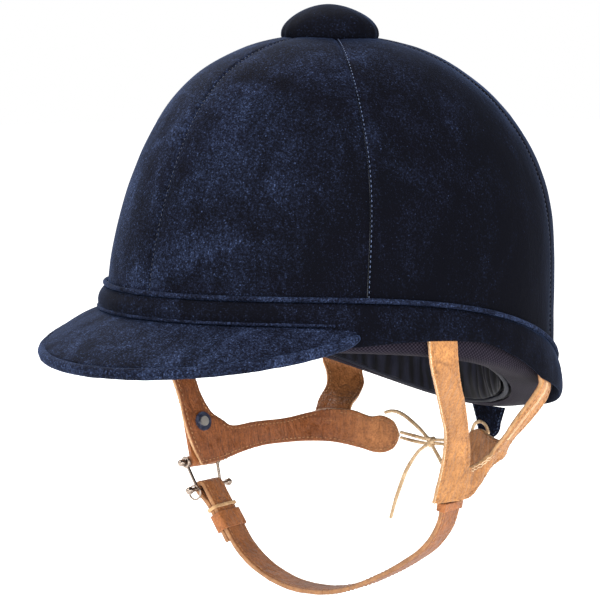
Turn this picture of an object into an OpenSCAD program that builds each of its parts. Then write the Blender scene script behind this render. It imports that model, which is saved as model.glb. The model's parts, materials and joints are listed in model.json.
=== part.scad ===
// Riding helmet: velvet hunt cap with a peak, a crown button and a leather
// four-point harness. Millimetres, +Z up, peak towards -Y, wearer's left +X.
// The origin is the centre of the head opening, level with the band over the peak.

/* [Crown] */
// Length over the velvet, front to back
shell_l = 255; // [245:1:265]
// Width over the velvet
shell_w = 212; // [206:1:218]
// Height of the crown above the origin
crown_h = 140; // [136:1:148]
// Squareness of the crown's profile, where 2 is an ellipse
crown_n = 2.3; // [2.1:0.01:2.4]
// Backward swell of the crown at half height
crown_swell = 4; // [0:0.5:6]

/* [Rim] */
// Depth of the rim below the origin at the front
rim_front = 14; // [12:0.5:16]
// Further depth of the rim at the nape
rim_drop = 53; // [48:1:58]
// Height of the fabric strip that shows below the band at the ears
tape_show = 14.5; // [12:0.5:16]

/* [Layers] */
// Thickness of the velvet
velvet_t = 1.1; // [0.8:0.1:1.1]
// Thickness of the outer shell
shell_t = 3; // [2.5:0.1:3]
// Thickness of the foam liner
liner_t = 16.8; // [14:0.1:16.8]

/* [Peak] */
// Reach of the peak at the centre
peak_l = 40; // [36:1:50]
// Slope of the peak below the horizontal, in degrees
peak_slope = 27; // [22:1:36]
// Half of the arc that the peak spans, in degrees
peak_span = 57; // [54:0.5:62]

/* [Button] */
// Diameter of the crown button
button_d = 51; // [44:1:58]
// Height of the crown button above the crown
button_h = 15.5; // [14:0.5:22]

/* [Harness] */
// Thickness of the leather ply
leather_t = 1.5; // [1.2:0.1:1.6]
// Thickness of the lining ply
suede_t = 1.1; // [0.8:0.1:1.1]
// Width of the chin strap
chin_w = 17; // [15:0.5:18]
// Thickness of the chin strap
chin_t = 2.4; // [2:0.1:2.4]

/* [Lace] */
// Diameter of the nape lace
lace_d = 2.4; // [2:0.1:2.6]

/* [Hidden] */
$fn = 48;

half_l = shell_l / 2;
half_w = shell_w / 2;
step = 7.5;
shell_d = velvet_t + 0.35;
liner_d = shell_d + shell_t;
liner_in = liner_d + liner_t;
profile_w = [14, 26, 37, 47, 57, 66, 74, 81, 87];

// ---------- shape functions ----------

function fold(t) = abs(t) > 180 ? 360 - abs(t) : abs(t);
function clamp(x) = max(0, min(1, x));
function dip(t, p) = pow((1 - cos(t)) / 2, p);

// Lowest line of the rim, then the two edges of the velvet band
function rim_z(t) = -rim_front - rim_drop * dip(t, 2.45);
function band_low(t) = rim_z(t) + tape_show * (1 - pow(clamp((fold(t) - 50) / 64), 3));
function band_top(t) = 11 - 64 * dip(t, 2.75);

// Crown surface at height z, d below the velvet's face
function crown_r(z, h) = z <= 0 ? 1 : pow(max(0, 1 - pow(z / h, crown_n)), 1 / crown_n);
function lean(z) = z <= 0 ? 0
  : crown_swell * pow(sin(180 * z / crown_h), 2) - 3.3 * pow(z / crown_h, 3);
function wall(t, z, d) =
  let (r = crown_r(z, crown_h - d))
  [(half_w - d) * r * sin(t), lean(z) - (half_l - d) * r * cos(t), z];
function crown_z(w, d) = (crown_h - d) * pow(sin(w), 2 / crown_n);

// One upright row of points on the crown, from height z0 to the last angle
function upright(t, z0, d, last = 87) =
  let (z1 = crown_z(profile_w[0], d))
  concat(
    [wall(t, z0, d), wall(t, (z0 + z1) / 2, d)],
    [for (w = profile_w) if (w <= last) wall(t, crown_z(w, d), d)]
  );

// ---------- solids from rows of points ----------

function tri_volume(p, f) = p[f[0]] * cross(p[f[1]], p[f[2]]);
function total(v) = v * [for (i = v) 1];

// Closed skin over rows of equal length. Open stacks are capped, and closed
// stacks join the last row to the first.
module skin(rows, closed = false) {
  n = len(rows[0]);
  m = len(rows);
  pts = [for (r = rows) each r];
  sides = [
    for (i = [0 : m - (closed ? 1 : 2)], j = [0 : n - 1])
      let (a = i * n, b = ((i + 1) % m) * n, k = (j + 1) % n)
      each [[a + j, a + k, b + k], [a + j, b + k, b + j]]
  ];
  caps = closed ? [] : [
    for (j = [0 : n / 2 - 2])
      let (e = (m - 1) * n)
      each [
        [j, n - 1 - j, n - 2 - j], [j, n - 2 - j, j + 1],
        [e + j, e + j + 1, e + n - 2 - j], [e + j, e + n - 2 - j, e + n - 1 - j]
      ]
  ];
  faces = concat(sides, caps);
  turned = total([for (f = faces) tri_volume(pts, f)]) > 0;
  polyhedron(
    points = pts,
    faces = turned ? [for (f = faces) [f[2], f[1], f[0]]] : faces,
    convexity = 10
  );
}

function reverse(v) = [for (i = [len(v) - 1 : -1 : 0]) v[i]];
function column(rows, j) = [for (r = rows) r[j]];

// Dome-shaped layer between two depths, all the way round
module dome_layer(d_out, d_in, lift, last = 87, open = false) {
  spokes = [for (t = [0 : step : 359]) concat(
    reverse(upright(t, rim_z(t) + lift, d_in, last)),
    upright(t, rim_z(t) + lift, d_out, last)
  )];
  skin([for (j = [0 : len(spokes[0]) - 1]) column(spokes, j)], closed = open);
}

// Ring that runs round the helmet with a cross-section given by station
module rim_ring(section) {
  skin(section, closed = true);
}

// Smooth curve through hand-placed points
function spline_at(p, i, u) =
  let (
    n = len(p) - 1,
    a = p[max(0, i - 1)], b = p[i], c = p[min(n, i + 1)], d = p[min(n, i + 2)]
  )
  0.5 * (2 * b + (c - a) * u + (2 * a - 5 * b + 4 * c - d) * u * u
  + (3 * b - a - 3 * c + d) * u * u * u);
function smooth(p, k) = concat(
  [for (i = [0 : len(p) - 2], j = [0 : k - 1]) spline_at(p, i, j / k)],
  [p[len(p) - 1]]
);
function unit(v) = v / norm(v);
function tangent(p, i) = unit(p[min(len(p) - 1, i + 1)] - p[max(0, i - 1)]);

// Flat leather piece between two edges, from depth lo to hi along its outer normal
module ribbon(edge_a, edge_b, lo, hi) {
  a = smooth(edge_a, 3);
  b = smooth(edge_b, 3);
  skin([for (i = [0 : len(a) - 1])
    let (
      mid = (a[i] + b[i]) / 2,
      along = unit(tangent(a, i) + tangent(b, i)),
      n0 = unit(cross(b[i] - a[i], along)),
      n = n0 * [mid[0], mid[1], 0] < 0 ? -n0 : n0
    )
    [a[i] + n * lo, a[i] + n * hi, b[i] + n * hi, b[i] + n * lo]
  ]);
}

// Round tube swept along hand-placed points
module tube(path, d, k = 3, sides = 8) {
  p = smooth(path, k);
  skin([for (i = [0 : len(p) - 1])
    let (
      f = tangent(p, i),
      u = unit(cross(f, abs(f[2]) > 0.9 ? [0, 1, 0] : [0, 0, 1])),
      v = cross(f, u)
    )
    [for (s = [0 : sides - 1]) p[i] + (u * cos(360 * s / sides) + v * sin(360 * s / sides)) * d / 2]
  ]);
}

// Rod between two points, as a true cylinder
module rod(p, q, r) {
  v = q - p;
  translate(p)
    rotate([0, acos(v[2] / norm(v)), atan2(v[1], v[0])])
      cylinder(h = norm(v), r = r, $fn = 32);
}

// Puts +Z of its children along the outward normal of the rim wall
module on_wall(t, z, d) {
  translate(wall(t, z, d))
    rotate([0, 0, atan2(-cos(t) / half_l, sin(t) / half_w)])
      rotate([0, 90, 0])
        children();
}

// ---------- shell and padding ----------

// Centre angles of the four places where the harness is riveted
anchor_t = [78.5, 118.5, -76, -130.5];
anchor_half = 5.1;
function anchor_z(t) = max(band_low(t) + 5, rim_z(t) + 8.8);

module rivet_bores(r = 2.05) {
  for (t = anchor_t)
    on_wall(t, anchor_z(t), 6.5)
      cylinder(h = 12, r = r);
}

module outer_shell() {
  color("#20242c")
    difference() {
      dome_layer(shell_d, liner_d - 0.1, 6.5);
      rivet_bores();
      translate([0, lean(crown_h), crown_h - 8])
        cylinder(h = 10, r = 2.6);
    }
}

module impact_liner() {
  color("#3a3a3e")
    difference() {
      dome_layer(liner_d, liner_in, 4);
      for (t = anchor_t)
        on_wall(t, anchor_z(t), 6.6)
          cylinder(h = 8, r = 4.6);
      translate([0, lean(crown_h), crown_h - 10])
        cylinder(h = 10, r = 8);
    }
}

module crown_pad() {
  color("#24242a")
    translate([0, lean(crown_h), crown_h - 28.4])
      cylinder(h = 4.5, r = 19);
}

module velvet_panel(t0, t1) {
  gap = 0.25;
  inner = [for (t = [t0 + step : step : t1 - step]) t];
  color("#1f2b46")
    difference() {
      skin([for (t = concat([t0 + gap], inner, [t1 - gap]))
        let (z0 = max(band_low(t) + 2, rim_z(t) + 9))
        concat(upright(t, z0, 0, 81), reverse(upright(t, z0, velvet_t, 81)))
      ]);
      rivet_bores();
    }
}

module velvet_front_left() velvet_panel(0, 60);
module velvet_front_right() velvet_panel(-60, 0);
module velvet_side_left() velvet_panel(60, 127.5);
module velvet_side_right() velvet_panel(-127.5, -60);
module velvet_rear_left() velvet_panel(127.5, 180);
module velvet_rear_right() velvet_panel(-180, -127.5);

// Padded band with a pocket behind its lower edge for the strap ends
module velvet_band() {
  color("#22304e")
    rim_ring([for (t = [0 : step : 359])
      let (zt = band_top(t), zb = band_low(t), h = zt - zb)
      concat(
        [for (s = [0 : 0.125 : 1])
          wall(t, zt - h * s, -0.6 - 2.9 * s - 2.6 * pow(sin(180 * (0.03 + 0.94 * s)), 0.6))],
        [wall(t, zb, -3), wall(t, zb + h * 0.68, -2.95),
         wall(t, zb + h * 0.74, -0.1), wall(t, zt, -0.1)]
      )
    ]);
}

module band_welt() {
  color("#2c3c5e")
    rim_ring([for (t = [0 : step : 359])
      [for (s = [0 : 45 : 359])
        wall(t, band_top(t) + 1.5 + 1.25 * sin(s), -1.45 + 1.25 * cos(s))]
    ]);
}

module rim_tape() {
  color("#3b3944")
    difference() {
      rim_ring([for (t = [0 : step : 359])
        let (z = rim_z(t), top = max(band_low(t) + 0.8, z + 7.5))
        [
          wall(t, top, 0.2), wall(t, z + 6, 0.2), wall(t, z + 2.2, 1.6),
          wall(t, z + 0.3, 5), wall(t, z - 0.1, 9), wall(t, z + 0.2, 15),
          wall(t, z + 1.2, 20), wall(t, z + 2.6, 22.8), wall(t, z + 3.5, 22.3),
          wall(t, z + 2.2, 19.7), wall(t, z + 1.2, 15), wall(t, z + 0.9, 9),
          wall(t, z + 1.3, 5.3), wall(t, z + 2.9, 2.5), wall(t, z + 6.3, 1.1),
          wall(t, top, 1.1)
        ]
      ]);
      rivet_bores();
    }
}

module headband() {
  color("#1c1c22")
    rim_ring([for (t = [0 : step : 359])
      let (z = rim_z(t))
      [wall(t, z + 6.5, 22), wall(t, z + 36, 22), wall(t, z + 36, 26), wall(t, z + 6.5, 26)]
    ]);
}

// Gathered lining: up over the headband, then in to the drawcord
module gathered_lining() {
  color("#14151f")
    dome_layer(26.8, 28, 7, 74, open = true);
}

// Point moved out along the rim's plan normal, and up
function beside(t, p, out, up) =
  p + out * unit([sin(t) / half_w, -cos(t) / half_l, 0]) + [0, 0, up];

module cord_ring(d, zs, r, inward) {
  rim_ring([for (i = [0 : len(zs) - 1])
    let (t = i * step)
    [for (s = [0 : 45 : 359])
      beside(t, wall(t, zs[i], d), -inward + r * cos(s), r * sin(s))]
  ]);
}

module lining_piping() {
  color("#23242e")
    cord_ring(25.2, [for (t = [0 : step : 359]) rim_z(t) + 4.6], 1.4, 0);
}

module lining_drawcord() {
  z = crown_z(74, 27.4);
  color("#15161e")
    cord_ring(28, [for (t = [0 : step : 359]) z], 1.1, 1.6);
}

// ---------- peak ----------

function peak_reach(t) = 5 + (peak_l - 5) * pow(1 - pow(abs(t) / (peak_span + 0.01), 2), 0.9);
function peak_at(t, v, k) =
  let (l = peak_reach(t) * v)
  beside(t, wall(t, band_low(t) - 0.3 - k, -0.3), l, -l * tan(peak_slope));
peak_stations = [for (i = [-12 : 12]) peak_span * i / 12];

module peak_layer(top, bottom) {
  skin([for (t = peak_stations)
    let (v1 = 1 - 3.7 / peak_reach(t))
    concat(
      [for (i = [0 : 5]) peak_at(t, v1 * i / 5, top)],
      [for (i = [5 : -1 : 0]) peak_at(t, v1 * i / 5, bottom)]
    )
  ]);
}

module peak_velvet() {
  color("#22304e")
    peak_layer(0, 1.2);
}

module peak_board() {
  color("#2a2a2e")
    peak_layer(1.3, 4.4);
}

module peak_lining() {
  color("#2b2c38")
    peak_layer(4.5, 5.6);
}

module peak_edge_roll() {
  color("#2c3c5e")
    tube([for (t = peak_stations) peak_at(t, 1, 2.6)], 5.8, 1, 10);
}

// ---------- crown button ----------

module crown_solid(d) {
  spokes = [for (t = [0 : step : 359]) upright(t, 60, d)];
  skin([for (j = [0 : len(spokes[0]) - 1]) column(spokes, j)]);
}

function button_profile(inset) = [
  for (a = [0 : 7.5 : 90])
    [(button_d / 2 - inset) * pow(cos(a), 1.15), (button_h - inset) * sin(a)]
];

module button_blank(inset) {
  translate([0, lean(crown_h), crown_h])
    rotate_extrude($fn = 64)
      polygon(concat([[0, -5], [button_d / 2 - inset, -5]], button_profile(inset)));
}

module button_velvet() {
  color("#22304e")
    difference() {
      button_blank(0);
      button_blank(1.6);
      crown_solid(-0.15);
    }
}

module button_core() {
  color("#4a4238")
    difference() {
      button_blank(1.8);
      crown_solid(-0.15);
      translate([0, lean(crown_h), crown_h - 6])
        cylinder(h = 15, r = 2.6);
    }
}

module button_stem() {
  color("silver")
    translate([0, lean(crown_h), crown_h - 9.4]) {
      cylinder(h = 17.4, r = 2.5);
      translate([0, 0, 2.8])
        cylinder(h = 1.3, r = 7.2);
    }
}

// ---------- harness anchors and nape tab ----------

// Riveted ends of the four straps, in the pocket behind the band
module strap_anchors() {
  color("#a8683c")
    difference() {
      for (c = anchor_t)
        skin([for (t = [c - anchor_half, c, c + anchor_half])
          let (low = band_low(t) - 0.4, high = max(low + 6, anchor_z(t) + 2.8))
          [wall(t, low, -0.2), wall(t, high, -0.2), wall(t, high, -2.5), wall(t, low, -2.5)]
        ]);
      rivet_bores();
    }
}

module harness_rivets() {
  color("silver")
    for (t = anchor_t)
      on_wall(t, anchor_z(t), 6.3) {
        cylinder(h = 8.6, r = 1.95);
        cylinder(h = 1.3, r = 4.2);
      }
}

module nape_tab() {
  color("#1f2b46")
    translate([0, half_l - 7.2, rim_z(180) - 0.9])
      rotate([90, 0, 0])
        linear_extrude(1.6)
          polygon(concat([[12.5, 0], [-12.5, 0]], [for (a = [180 : 10 : 360]) [9 * cos(a), 9 * sin(a) - 9.5]]));
}

// ---------- leather harness ----------

// Each strap is two hand-placed edges: front or upper edge first
left_front = [
  [[103.5, -34, -8], [104.3, -32.8, -22.5], [101.5, -26, -35.8], [96.5, -17.4, -48.7],
   [91.5, -9.5, -61], [85.4, -5.5, -78], [80.2, -6.3, -97.6]],
  [[106.9, -17.2, -12.1], [106.3, -15.8, -21.7], [101.5, -8.9, -34], [96.5, -0.4, -45.8],
   [91.5, 7, -60], [86, 14, -76], [80, 15, -98.4]]
];
left_rear = [
  [[97.5, 54.6, -40.3], [94.5, 49.8, -48.8], [90, 45, -57.7], [87.5, 40, -65.8],
   [85, 35.2, -72.2], [82.3, 30.5, -80]],
  [[91.7, 67.5, -44.6], [90.5, 65.5, -50.6], [86.5, 58.5, -60.5], [81.5, 52.2, -69.2],
   [79.7, 46, -76.4], [79.3, 38, -81.5]]
];
left_jaw = [
  [[84.4, -2, -80], [84, 14, -80.6], [82.5, 22.2, -80.4], [83.3, 30.4, -76.8],
   [82.6, 39.6, -72.9], [78.5, 52, -70.8], [68, 64, -72.5], [56, 69, -75.5], [44, 73.5, -75],
   [34, 77.5, -73], [25, 80.2, -75.5], [20, 81.4, -79.5]],
  [[80.5, -5.3, -97.4], [79.8, 14, -98.2], [79.8, 22, -96.6], [80, 28.7, -90.6],
   [79.5, 35.1, -84.3], [77.4, 48, -80], [66, 57.8, -82.7], [55, 64.1, -87.7],
   [43, 70.6, -94.3], [33, 73.3, -96.6], [25, 73.8, -94.7], [20, 81.5, -85.5]]
];
right_front = [
  [[-102, -40, -7.4], [-102.5, -38.5, -20], [-98.5, -36, -35], [-91.8, -33.9, -50],
   [-88.5, -32.3, -61], [-85.5, -32, -71], [-81.8, -29.5, -84], [-79, -25, -95]],
  [[-106, -20, -12.8], [-105.6, -19.5, -22], [-99.5, -18.5, -35], [-92, -18, -51],
   [-89, -16.5, -59], [-86, -12, -68], [-83, -2, -77], [-79, -6, -93.5]]
];
right_rear = [
  [[-88, 73.9, -47], [-85, 74, -53], [-82, 71, -60], [-79, 62, -68], [-75.2, 55.2, -77]],
  [[-74.6, 92.7, -53.8], [-71.5, 91, -60], [-67, 83, -65.5], [-61, 71.5, -69.5], [-57.4, 65.5, -77]]
];
right_jaw = [
  [[-84.8, -27, -71.5], [-84.5, -12, -71], [-82.5, 0, -76], [-81, 16, -75.3], [-80.2, 37, -75.5],
   [-79, 52, -74], [-70, 60, -71.5], [-56, 66, -71], [-46, 71, -74], [-40, 74.6, -73.4],
   [-34, 77.8, -76.4], [-31.5, 79.4, -81.5]],
  [[-79, -24.5, -95.5], [-78.8, -10, -94], [-79, 5, -91], [-79, 20, -89.2], [-78.6, 37, -89.3],
   [-74, 51, -89.4], [-64, 60, -89.8], [-52, 67, -92], [-44, 72, -94.4], [-39, 75.2, -94.5],
   [-34, 78, -91.8], [-31.5, 79.5, -87]]
];

module harness_ply(parts, lo, hi) {
  for (p = parts)
    ribbon(p[0], p[1], lo, hi);
}

module left_harness_leather() {
  color("#b9703c")
    harness_ply([left_front, left_rear, left_jaw], 0, leather_t);
}

module left_harness_lining() {
  color("#7a4526")
    difference() {
      harness_ply([left_front, left_rear, left_jaw], -suede_t, 0);
      harness_ply([left_front, left_rear, left_jaw], 0, leather_t);
    }
}

module right_harness_leather() {
  color("#a5622f")
    difference() {
      harness_ply([right_front, right_rear, right_jaw], 0, leather_t);
      at_stud() stud_bore();
    }
}

module right_harness_lining() {
  color("#7a4526")
    difference() {
      harness_ply([right_front, right_rear, right_jaw], -suede_t, 0);
      harness_ply([right_front, right_rear, right_jaw], 0, leather_t);
      at_stud() stud_bore();
    }
}

// ---------- press stud and billet ----------

stud_at = [-84.8, -20.5, -72.3];
bar_x = -20.6;
bar_z = 5.4;

// Frame on the strap: +X up the strap, +Z out of the leather
module at_stud() {
  translate(stud_at)
    rotate([0, -105, 0])
      children();
}

module stud_bore() {
  translate([0, 0, -6])
    cylinder(h = 12, r = 2.1);
}

module stud_washer() {
  color("#1c2238")
    at_stud()
      difference() {
        translate([0, 0, -2.6])
          cylinder(h = 1, r = 5.2);
        stud_bore();
      }
}

module stud_post() {
  color("silver")
    at_stud() {
      translate([0, 0, -3.6])
        cylinder(h = 7.7, r = 2);
      translate([0, 0, -3.6])
        cylinder(h = 0.9, r = 2.7);
    }
}

module stud_cap() {
  color("#1c2238")
    at_stud()
      difference() {
        translate([0, 0, 4.5])
          cylinder(h = 1.8, r1 = 6.2, r2 = 5);
        translate([0, 0, 4])
          cylinder(h = 1.1, r = 2.4);
      }
}

module right_billet() {
  color("#a5622f")
    at_stud()
      difference() {
        intersection() {
          rotate([90, 0, 0])
            linear_extrude(18, center = true)
              difference() {
                union() {
                  translate([bar_x, 2.3])
                    square([10 - bar_x, 2]);
                  translate([bar_x, bar_z])
                    circle(r = 3.1);
                }
                translate([bar_x, bar_z])
                  circle(r = 1.5);
              }
          union() {
            cylinder(h = 20, r = 9);
            translate([bar_x - 5, -9, 0])
              cube([-bar_x + 5, 18, 20]);
          }
        }
        translate([0, 0, 1])
          cylinder(h = 8, r = 2.4);
      }
}

module upper_bar() {
  color("silver")
    at_stud()
      translate([bar_x, 0, bar_z]) {
        rotate([90, 0, 0])
          cylinder(h = 28.6, r = 1.35, center = true);
        for (y = [-14.3, 14.3])
          translate([0, y, 0])
            sphere(r = 2.1);
      }
}

// ---------- wire bail ----------

bail_at = [-78.3, -20.4, -107.4];
strap_turn = 12.1;
leg_top = 11.1;
leg_low = 10.3;
function stud_point(x, y, z) =
  stud_at + [x * cos(105) - z * sin(105), y, x * sin(105) + z * cos(105)];
function bail_point(y) = bail_at + y * [-sin(strap_turn), cos(strap_turn), 0];

module wire_bail() {
  color("silver") {
    for (s = [-1, 1]) {
      top = stud_point(bar_x, s * leg_top, bar_z);
      low = bail_point(s * leg_low);
      translate(top)
        rotate([90, 0, 0])
          rotate_extrude()
            translate([2.5, 0])
              circle(r = 0.9);
      rod(top + 2.5 * unit(low - top), low, 0.9);
      translate(bail_point(s * 17.5))
        sphere(r = 2.2);
    }
    rod(bail_point(-17.5), bail_point(17.5), 1.3);
  }
}

module bar_ring() {
  color("silver")
    translate(bail_point(-12.8) + [0, 0, -1.8])
      rotate([90, 0, strap_turn])
        rotate_extrude()
          translate([3.8, 0])
            circle(r = 0.55);
}

// ---------- chin strap ----------

// Chin strap frame: origin at the lower bar, +X across to the wearer's left
module at_bail() {
  translate(bail_at)
    rotate([0, 0, strap_turn])
      children();
}

fall = [0.556, -0.832];
out = [-0.832, -0.556];
fold_r = 2.8;
function on_fall(s, k) = -fold_r * out + s * fall + k * out;
tail_route = [
  on_fall(33, 2.7), on_fall(27, 2.7), on_fall(20, 2.7), on_fall(14, 2.7), on_fall(10, 2.9),
  on_fall(6, 3.8), on_fall(3, 4.9)
];
fold_route = [for (a = [0 : 30 : 180]) fold_r * [cos(213.7 - a), sin(213.7 - a)]];
under_route = [
  on_fall(4, 0), on_fall(12, 0), on_fall(20, 0), on_fall(27, 0), on_fall(33, 0),
  [27, -33], [35.8, -39.4], [46.6, -44.6], [59.4, -47.9], [72, -48.6], [86, -47.2], [100, -43],
  [113, -37], [125, -30.6], [135.6, -23.8], [144.2, -17.2], [150.8, -9.2], [154.6, -1.4],
  [156.1, 6.4], [156.3, 16.4]
];
chin_route = smooth(concat(tail_route, fold_route, under_route), 2);

function side_of(p, i, k) = let (f = tangent(p, i)) p[i] + k * [-f[1], f[0]];

module chin_strap() {
  n = len(chin_route) - 1;
  color("#b9703c")
    at_bail()
      rotate([90, 0, 0])
        linear_extrude(chin_w, center = true)
          polygon(concat(
            [for (i = [0 : n]) side_of(chin_route, i, chin_t / 2)],
            [for (i = [n : -1 : 0]) side_of(chin_route, i, -chin_t / 2)]
          ));
}

// Frame on the doubled strap: +X down the strap, +Z out of its outer face
module on_strap(s) {
  at_bail()
    translate([on_fall(s, 1.35)[0], 0, on_fall(s, 1.35)[1]])
      rotate([0, 56.25, 0])
        rotate([180, 0, 0])
          children();
}

module keeper_loop(length, depth, wall_t) {
  w = chin_w + 0.8;
  difference() {
    cube([length, w + 2 * wall_t, depth + 2 * wall_t], center = true);
    cube([length + 1, w, depth], center = true);
  }
}

module cord_keeper() {
  color("#8a5230")
    on_strap(13.5)
      keeper_loop(2, 5.7, 1.1);
}

module wide_keeper() {
  color("#b9703c")
    on_strap(21.8)
      keeper_loop(10, 5.7, 1.2);
}

module strap_end_loop() {
  color("#b9703c")
    at_bail()
      translate([156, 0, 6])
        rotate([0, 90 + 10, 0])
          keeper_loop(4.5, 3.4, 1.1);
}

// ---------- nape lace ----------

lace_route = [
  [-38, 75.2, -71.6], [-35, 77, -70.6], [-31, 78, -70.8], [-25, 78, -72.4], [-18, 77.5, -75.4],
  [-11, 77, -79], [-6, 76.6, -82.4], [-3.5, 76.4, -85], [-7, 76.2, -87], [-12, 76, -90.5],
  [-17, 76, -96], [-22, 76, -103], [-26, 76, -111], [-30, 76, -120], [-34, 76, -131]
];
knot_at = [-3, 76.5, -84];

module nape_lace() {
  color("#c8b08a")
    tube(lace_route, lace_d, 2);
}

module lace_strands() {
  color("#c8b08a") {
    tube([[-30.7, 80.6, -82.6], [-20, 80, -83.2], [-12, 79, -83.6], [-5.5, 77.6, -83.6]], 2.2, 2);
    tube([[-30.7, 80.6, -85.6], [-20, 80, -86.2], [-12, 79, -86.2], [-5.5, 77.6, -85.6]], 2.2, 2);
    tube([[19, 81.4, -81.2], [13, 80.6, -81.8], [6, 79, -82.6], [-0.5, 77.4, -83]], 2.2, 2);
    tube([[19, 81.5, -84], [13, 80.8, -84.5], [6, 79.2, -85], [-0.5, 77.4, -85]], 2.2, 2);
    tube([[-1.6, 76, -86], [1, 75.6, -88.6], [4, 75.2, -91.4], [7, 75, -95]], 2.2, 2);
  }
}

module left_lace_end() {
  color("#c8b08a")
    tube([
      [20.6, 84, -78.6], [20.8, 84.9, -75], [22.6, 85.2, -71.8], [26.8, 84.9, -70.6],
      [31.5, 83.9, -72.2], [34.5, 82.9, -76]
    ], 2, 2);
}

module lace_knot() {
  color("#b89f78")
    translate(knot_at)
      sphere(r = 3.4);
}

// ---------- parts ----------

outer_shell();
impact_liner();
crown_pad();
velvet_front_left();
velvet_front_right();
velvet_side_left();
velvet_side_right();
velvet_rear_left();
velvet_rear_right();
velvet_band();
band_welt();
rim_tape();
headband();
gathered_lining();
lining_piping();
lining_drawcord();
peak_board();
peak_velvet();
peak_lining();
peak_edge_roll();
button_core();
button_velvet();
button_stem();
strap_anchors();
harness_rivets();
nape_tab();
left_harness_leather();
left_harness_lining();
right_harness_leather();
right_harness_lining();
stud_washer();
stud_post();
stud_cap();
right_billet();
upper_bar();
wire_bail();
bar_ring();
chin_strap();
strap_end_loop();
cord_keeper();
wide_keeper();
nape_lace();
lace_strands();
left_lace_end();
lace_knot();
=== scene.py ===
"""Looks for a velvet riding helmet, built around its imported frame.

Shapes are worked out in millimetres with the same functions as the part's source,
and turned into metres when a mesh is made.
"""

import json
import math

import bmesh
import bpy
import numpy as np
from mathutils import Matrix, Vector, kdtree, noise


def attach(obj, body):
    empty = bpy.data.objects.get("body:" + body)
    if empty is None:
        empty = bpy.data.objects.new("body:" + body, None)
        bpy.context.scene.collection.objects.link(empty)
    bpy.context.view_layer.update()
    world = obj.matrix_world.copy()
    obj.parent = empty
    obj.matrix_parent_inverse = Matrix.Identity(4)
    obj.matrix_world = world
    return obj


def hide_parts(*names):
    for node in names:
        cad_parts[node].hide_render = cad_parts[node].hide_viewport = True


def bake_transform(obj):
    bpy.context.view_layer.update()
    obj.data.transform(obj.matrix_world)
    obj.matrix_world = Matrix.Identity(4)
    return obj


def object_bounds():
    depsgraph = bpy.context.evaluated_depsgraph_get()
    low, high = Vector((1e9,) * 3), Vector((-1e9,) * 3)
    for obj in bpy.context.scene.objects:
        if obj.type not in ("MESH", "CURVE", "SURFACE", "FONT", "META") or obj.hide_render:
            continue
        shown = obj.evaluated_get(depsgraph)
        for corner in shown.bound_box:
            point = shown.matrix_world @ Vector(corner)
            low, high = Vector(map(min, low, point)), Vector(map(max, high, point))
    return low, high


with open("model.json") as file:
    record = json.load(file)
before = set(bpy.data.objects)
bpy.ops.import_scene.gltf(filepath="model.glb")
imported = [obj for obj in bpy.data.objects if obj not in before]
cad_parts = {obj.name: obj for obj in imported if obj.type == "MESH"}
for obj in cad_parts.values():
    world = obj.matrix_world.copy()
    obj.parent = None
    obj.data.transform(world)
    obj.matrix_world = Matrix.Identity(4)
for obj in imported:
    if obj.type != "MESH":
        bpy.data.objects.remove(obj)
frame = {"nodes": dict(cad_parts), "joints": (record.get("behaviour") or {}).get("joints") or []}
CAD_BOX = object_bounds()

MM = 0.001
UP = np.array([0, 0, 1.0])

# ---------- driving dimensions, in mm ----------

HALF_L, HALF_W, CROWN_H = 127.5, 106.0, 140.0
CROWN_N, SWELL = 2.3, 4.0
RIM_FRONT, RIM_DROP, TAPE_SHOW = 14.0, 53.0, 14.5
PEAK_L, PEAK_SLOPE, PEAK_SPAN = 40.0, 27.0, 57.0
BUTTON_R, BUTTON_H = 25.5, 15.5
LEATHER_T, SUEDE_T = 1.5, 1.1
CHIN_W, CHIN_T = 17.0, 2.4
LACE_D = 2.4
SEAM_IN = 2.1


# ---------- shape functions ----------


def turned(t):
    t = np.abs(t)
    return np.where(t > 180, 360 - t, t)


def dip(t, p):
    return ((1 - np.cos(np.radians(t))) / 2) ** p


def rim_z(t):
    return -RIM_FRONT - RIM_DROP * dip(t, 2.45)


def band_low(t):
    return rim_z(t) + TAPE_SHOW * (1 - np.clip((turned(t) - 50) / 64, 0, 1) ** 3)


def band_top(t):
    return 11 - 64 * dip(t, 2.75)


def lean(z):
    s = np.maximum(z, 0) / CROWN_H
    return SWELL * np.sin(np.pi * s) ** 2 - 3.3 * s**3


def spread(*values):
    return np.broadcast_arrays(*(np.asarray(v, float) for v in values))


def wall(t, z, d):
    """Points on the crown's wall at angle t and height z, d below the velvet's face."""
    t, z, d = spread(t, z, d)
    up = np.clip(np.maximum(z, 0) / (CROWN_H - d), 0, 1)
    r = np.maximum(0, 1 - up**CROWN_N) ** (1 / CROWN_N)
    a = np.radians(t)
    return np.stack(
        [(HALF_W - d) * r * np.sin(a), lean(z) - (HALF_L - d) * r * np.cos(a), z], -1
    )


def crown_z(w, d=0.0):
    return (CROWN_H - d) * np.sin(np.radians(w)) ** (2 / CROWN_N)


def angle_of(p):
    return math.degrees(math.atan2(p[0] / HALF_W, -p[1] / HALF_L))


def outward(t):
    a = np.radians(np.asarray(t, float))
    n = np.stack([np.sin(a) / HALF_W, -np.cos(a) / HALF_L, 0 * a], -1)
    return n / np.linalg.norm(n, axis=-1, keepdims=True)


def peak_reach(t):
    return 5 + (PEAK_L - 5) * (1 - (np.abs(t) / (PEAK_SPAN + 0.01)) ** 2) ** 0.9


def peak_at(t, v, k):
    """Points on the peak at angle t and share v of its reach, k below its line."""
    t, v, k = spread(t, v, k)
    reach = (peak_reach(t) * v)[..., None]
    fall = outward(t) - math.tan(math.radians(PEAK_SLOPE)) * UP
    return wall(t, band_low(t) - 0.3 - k, -0.3) + reach * fall


# ---------- mesh tools ----------


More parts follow.
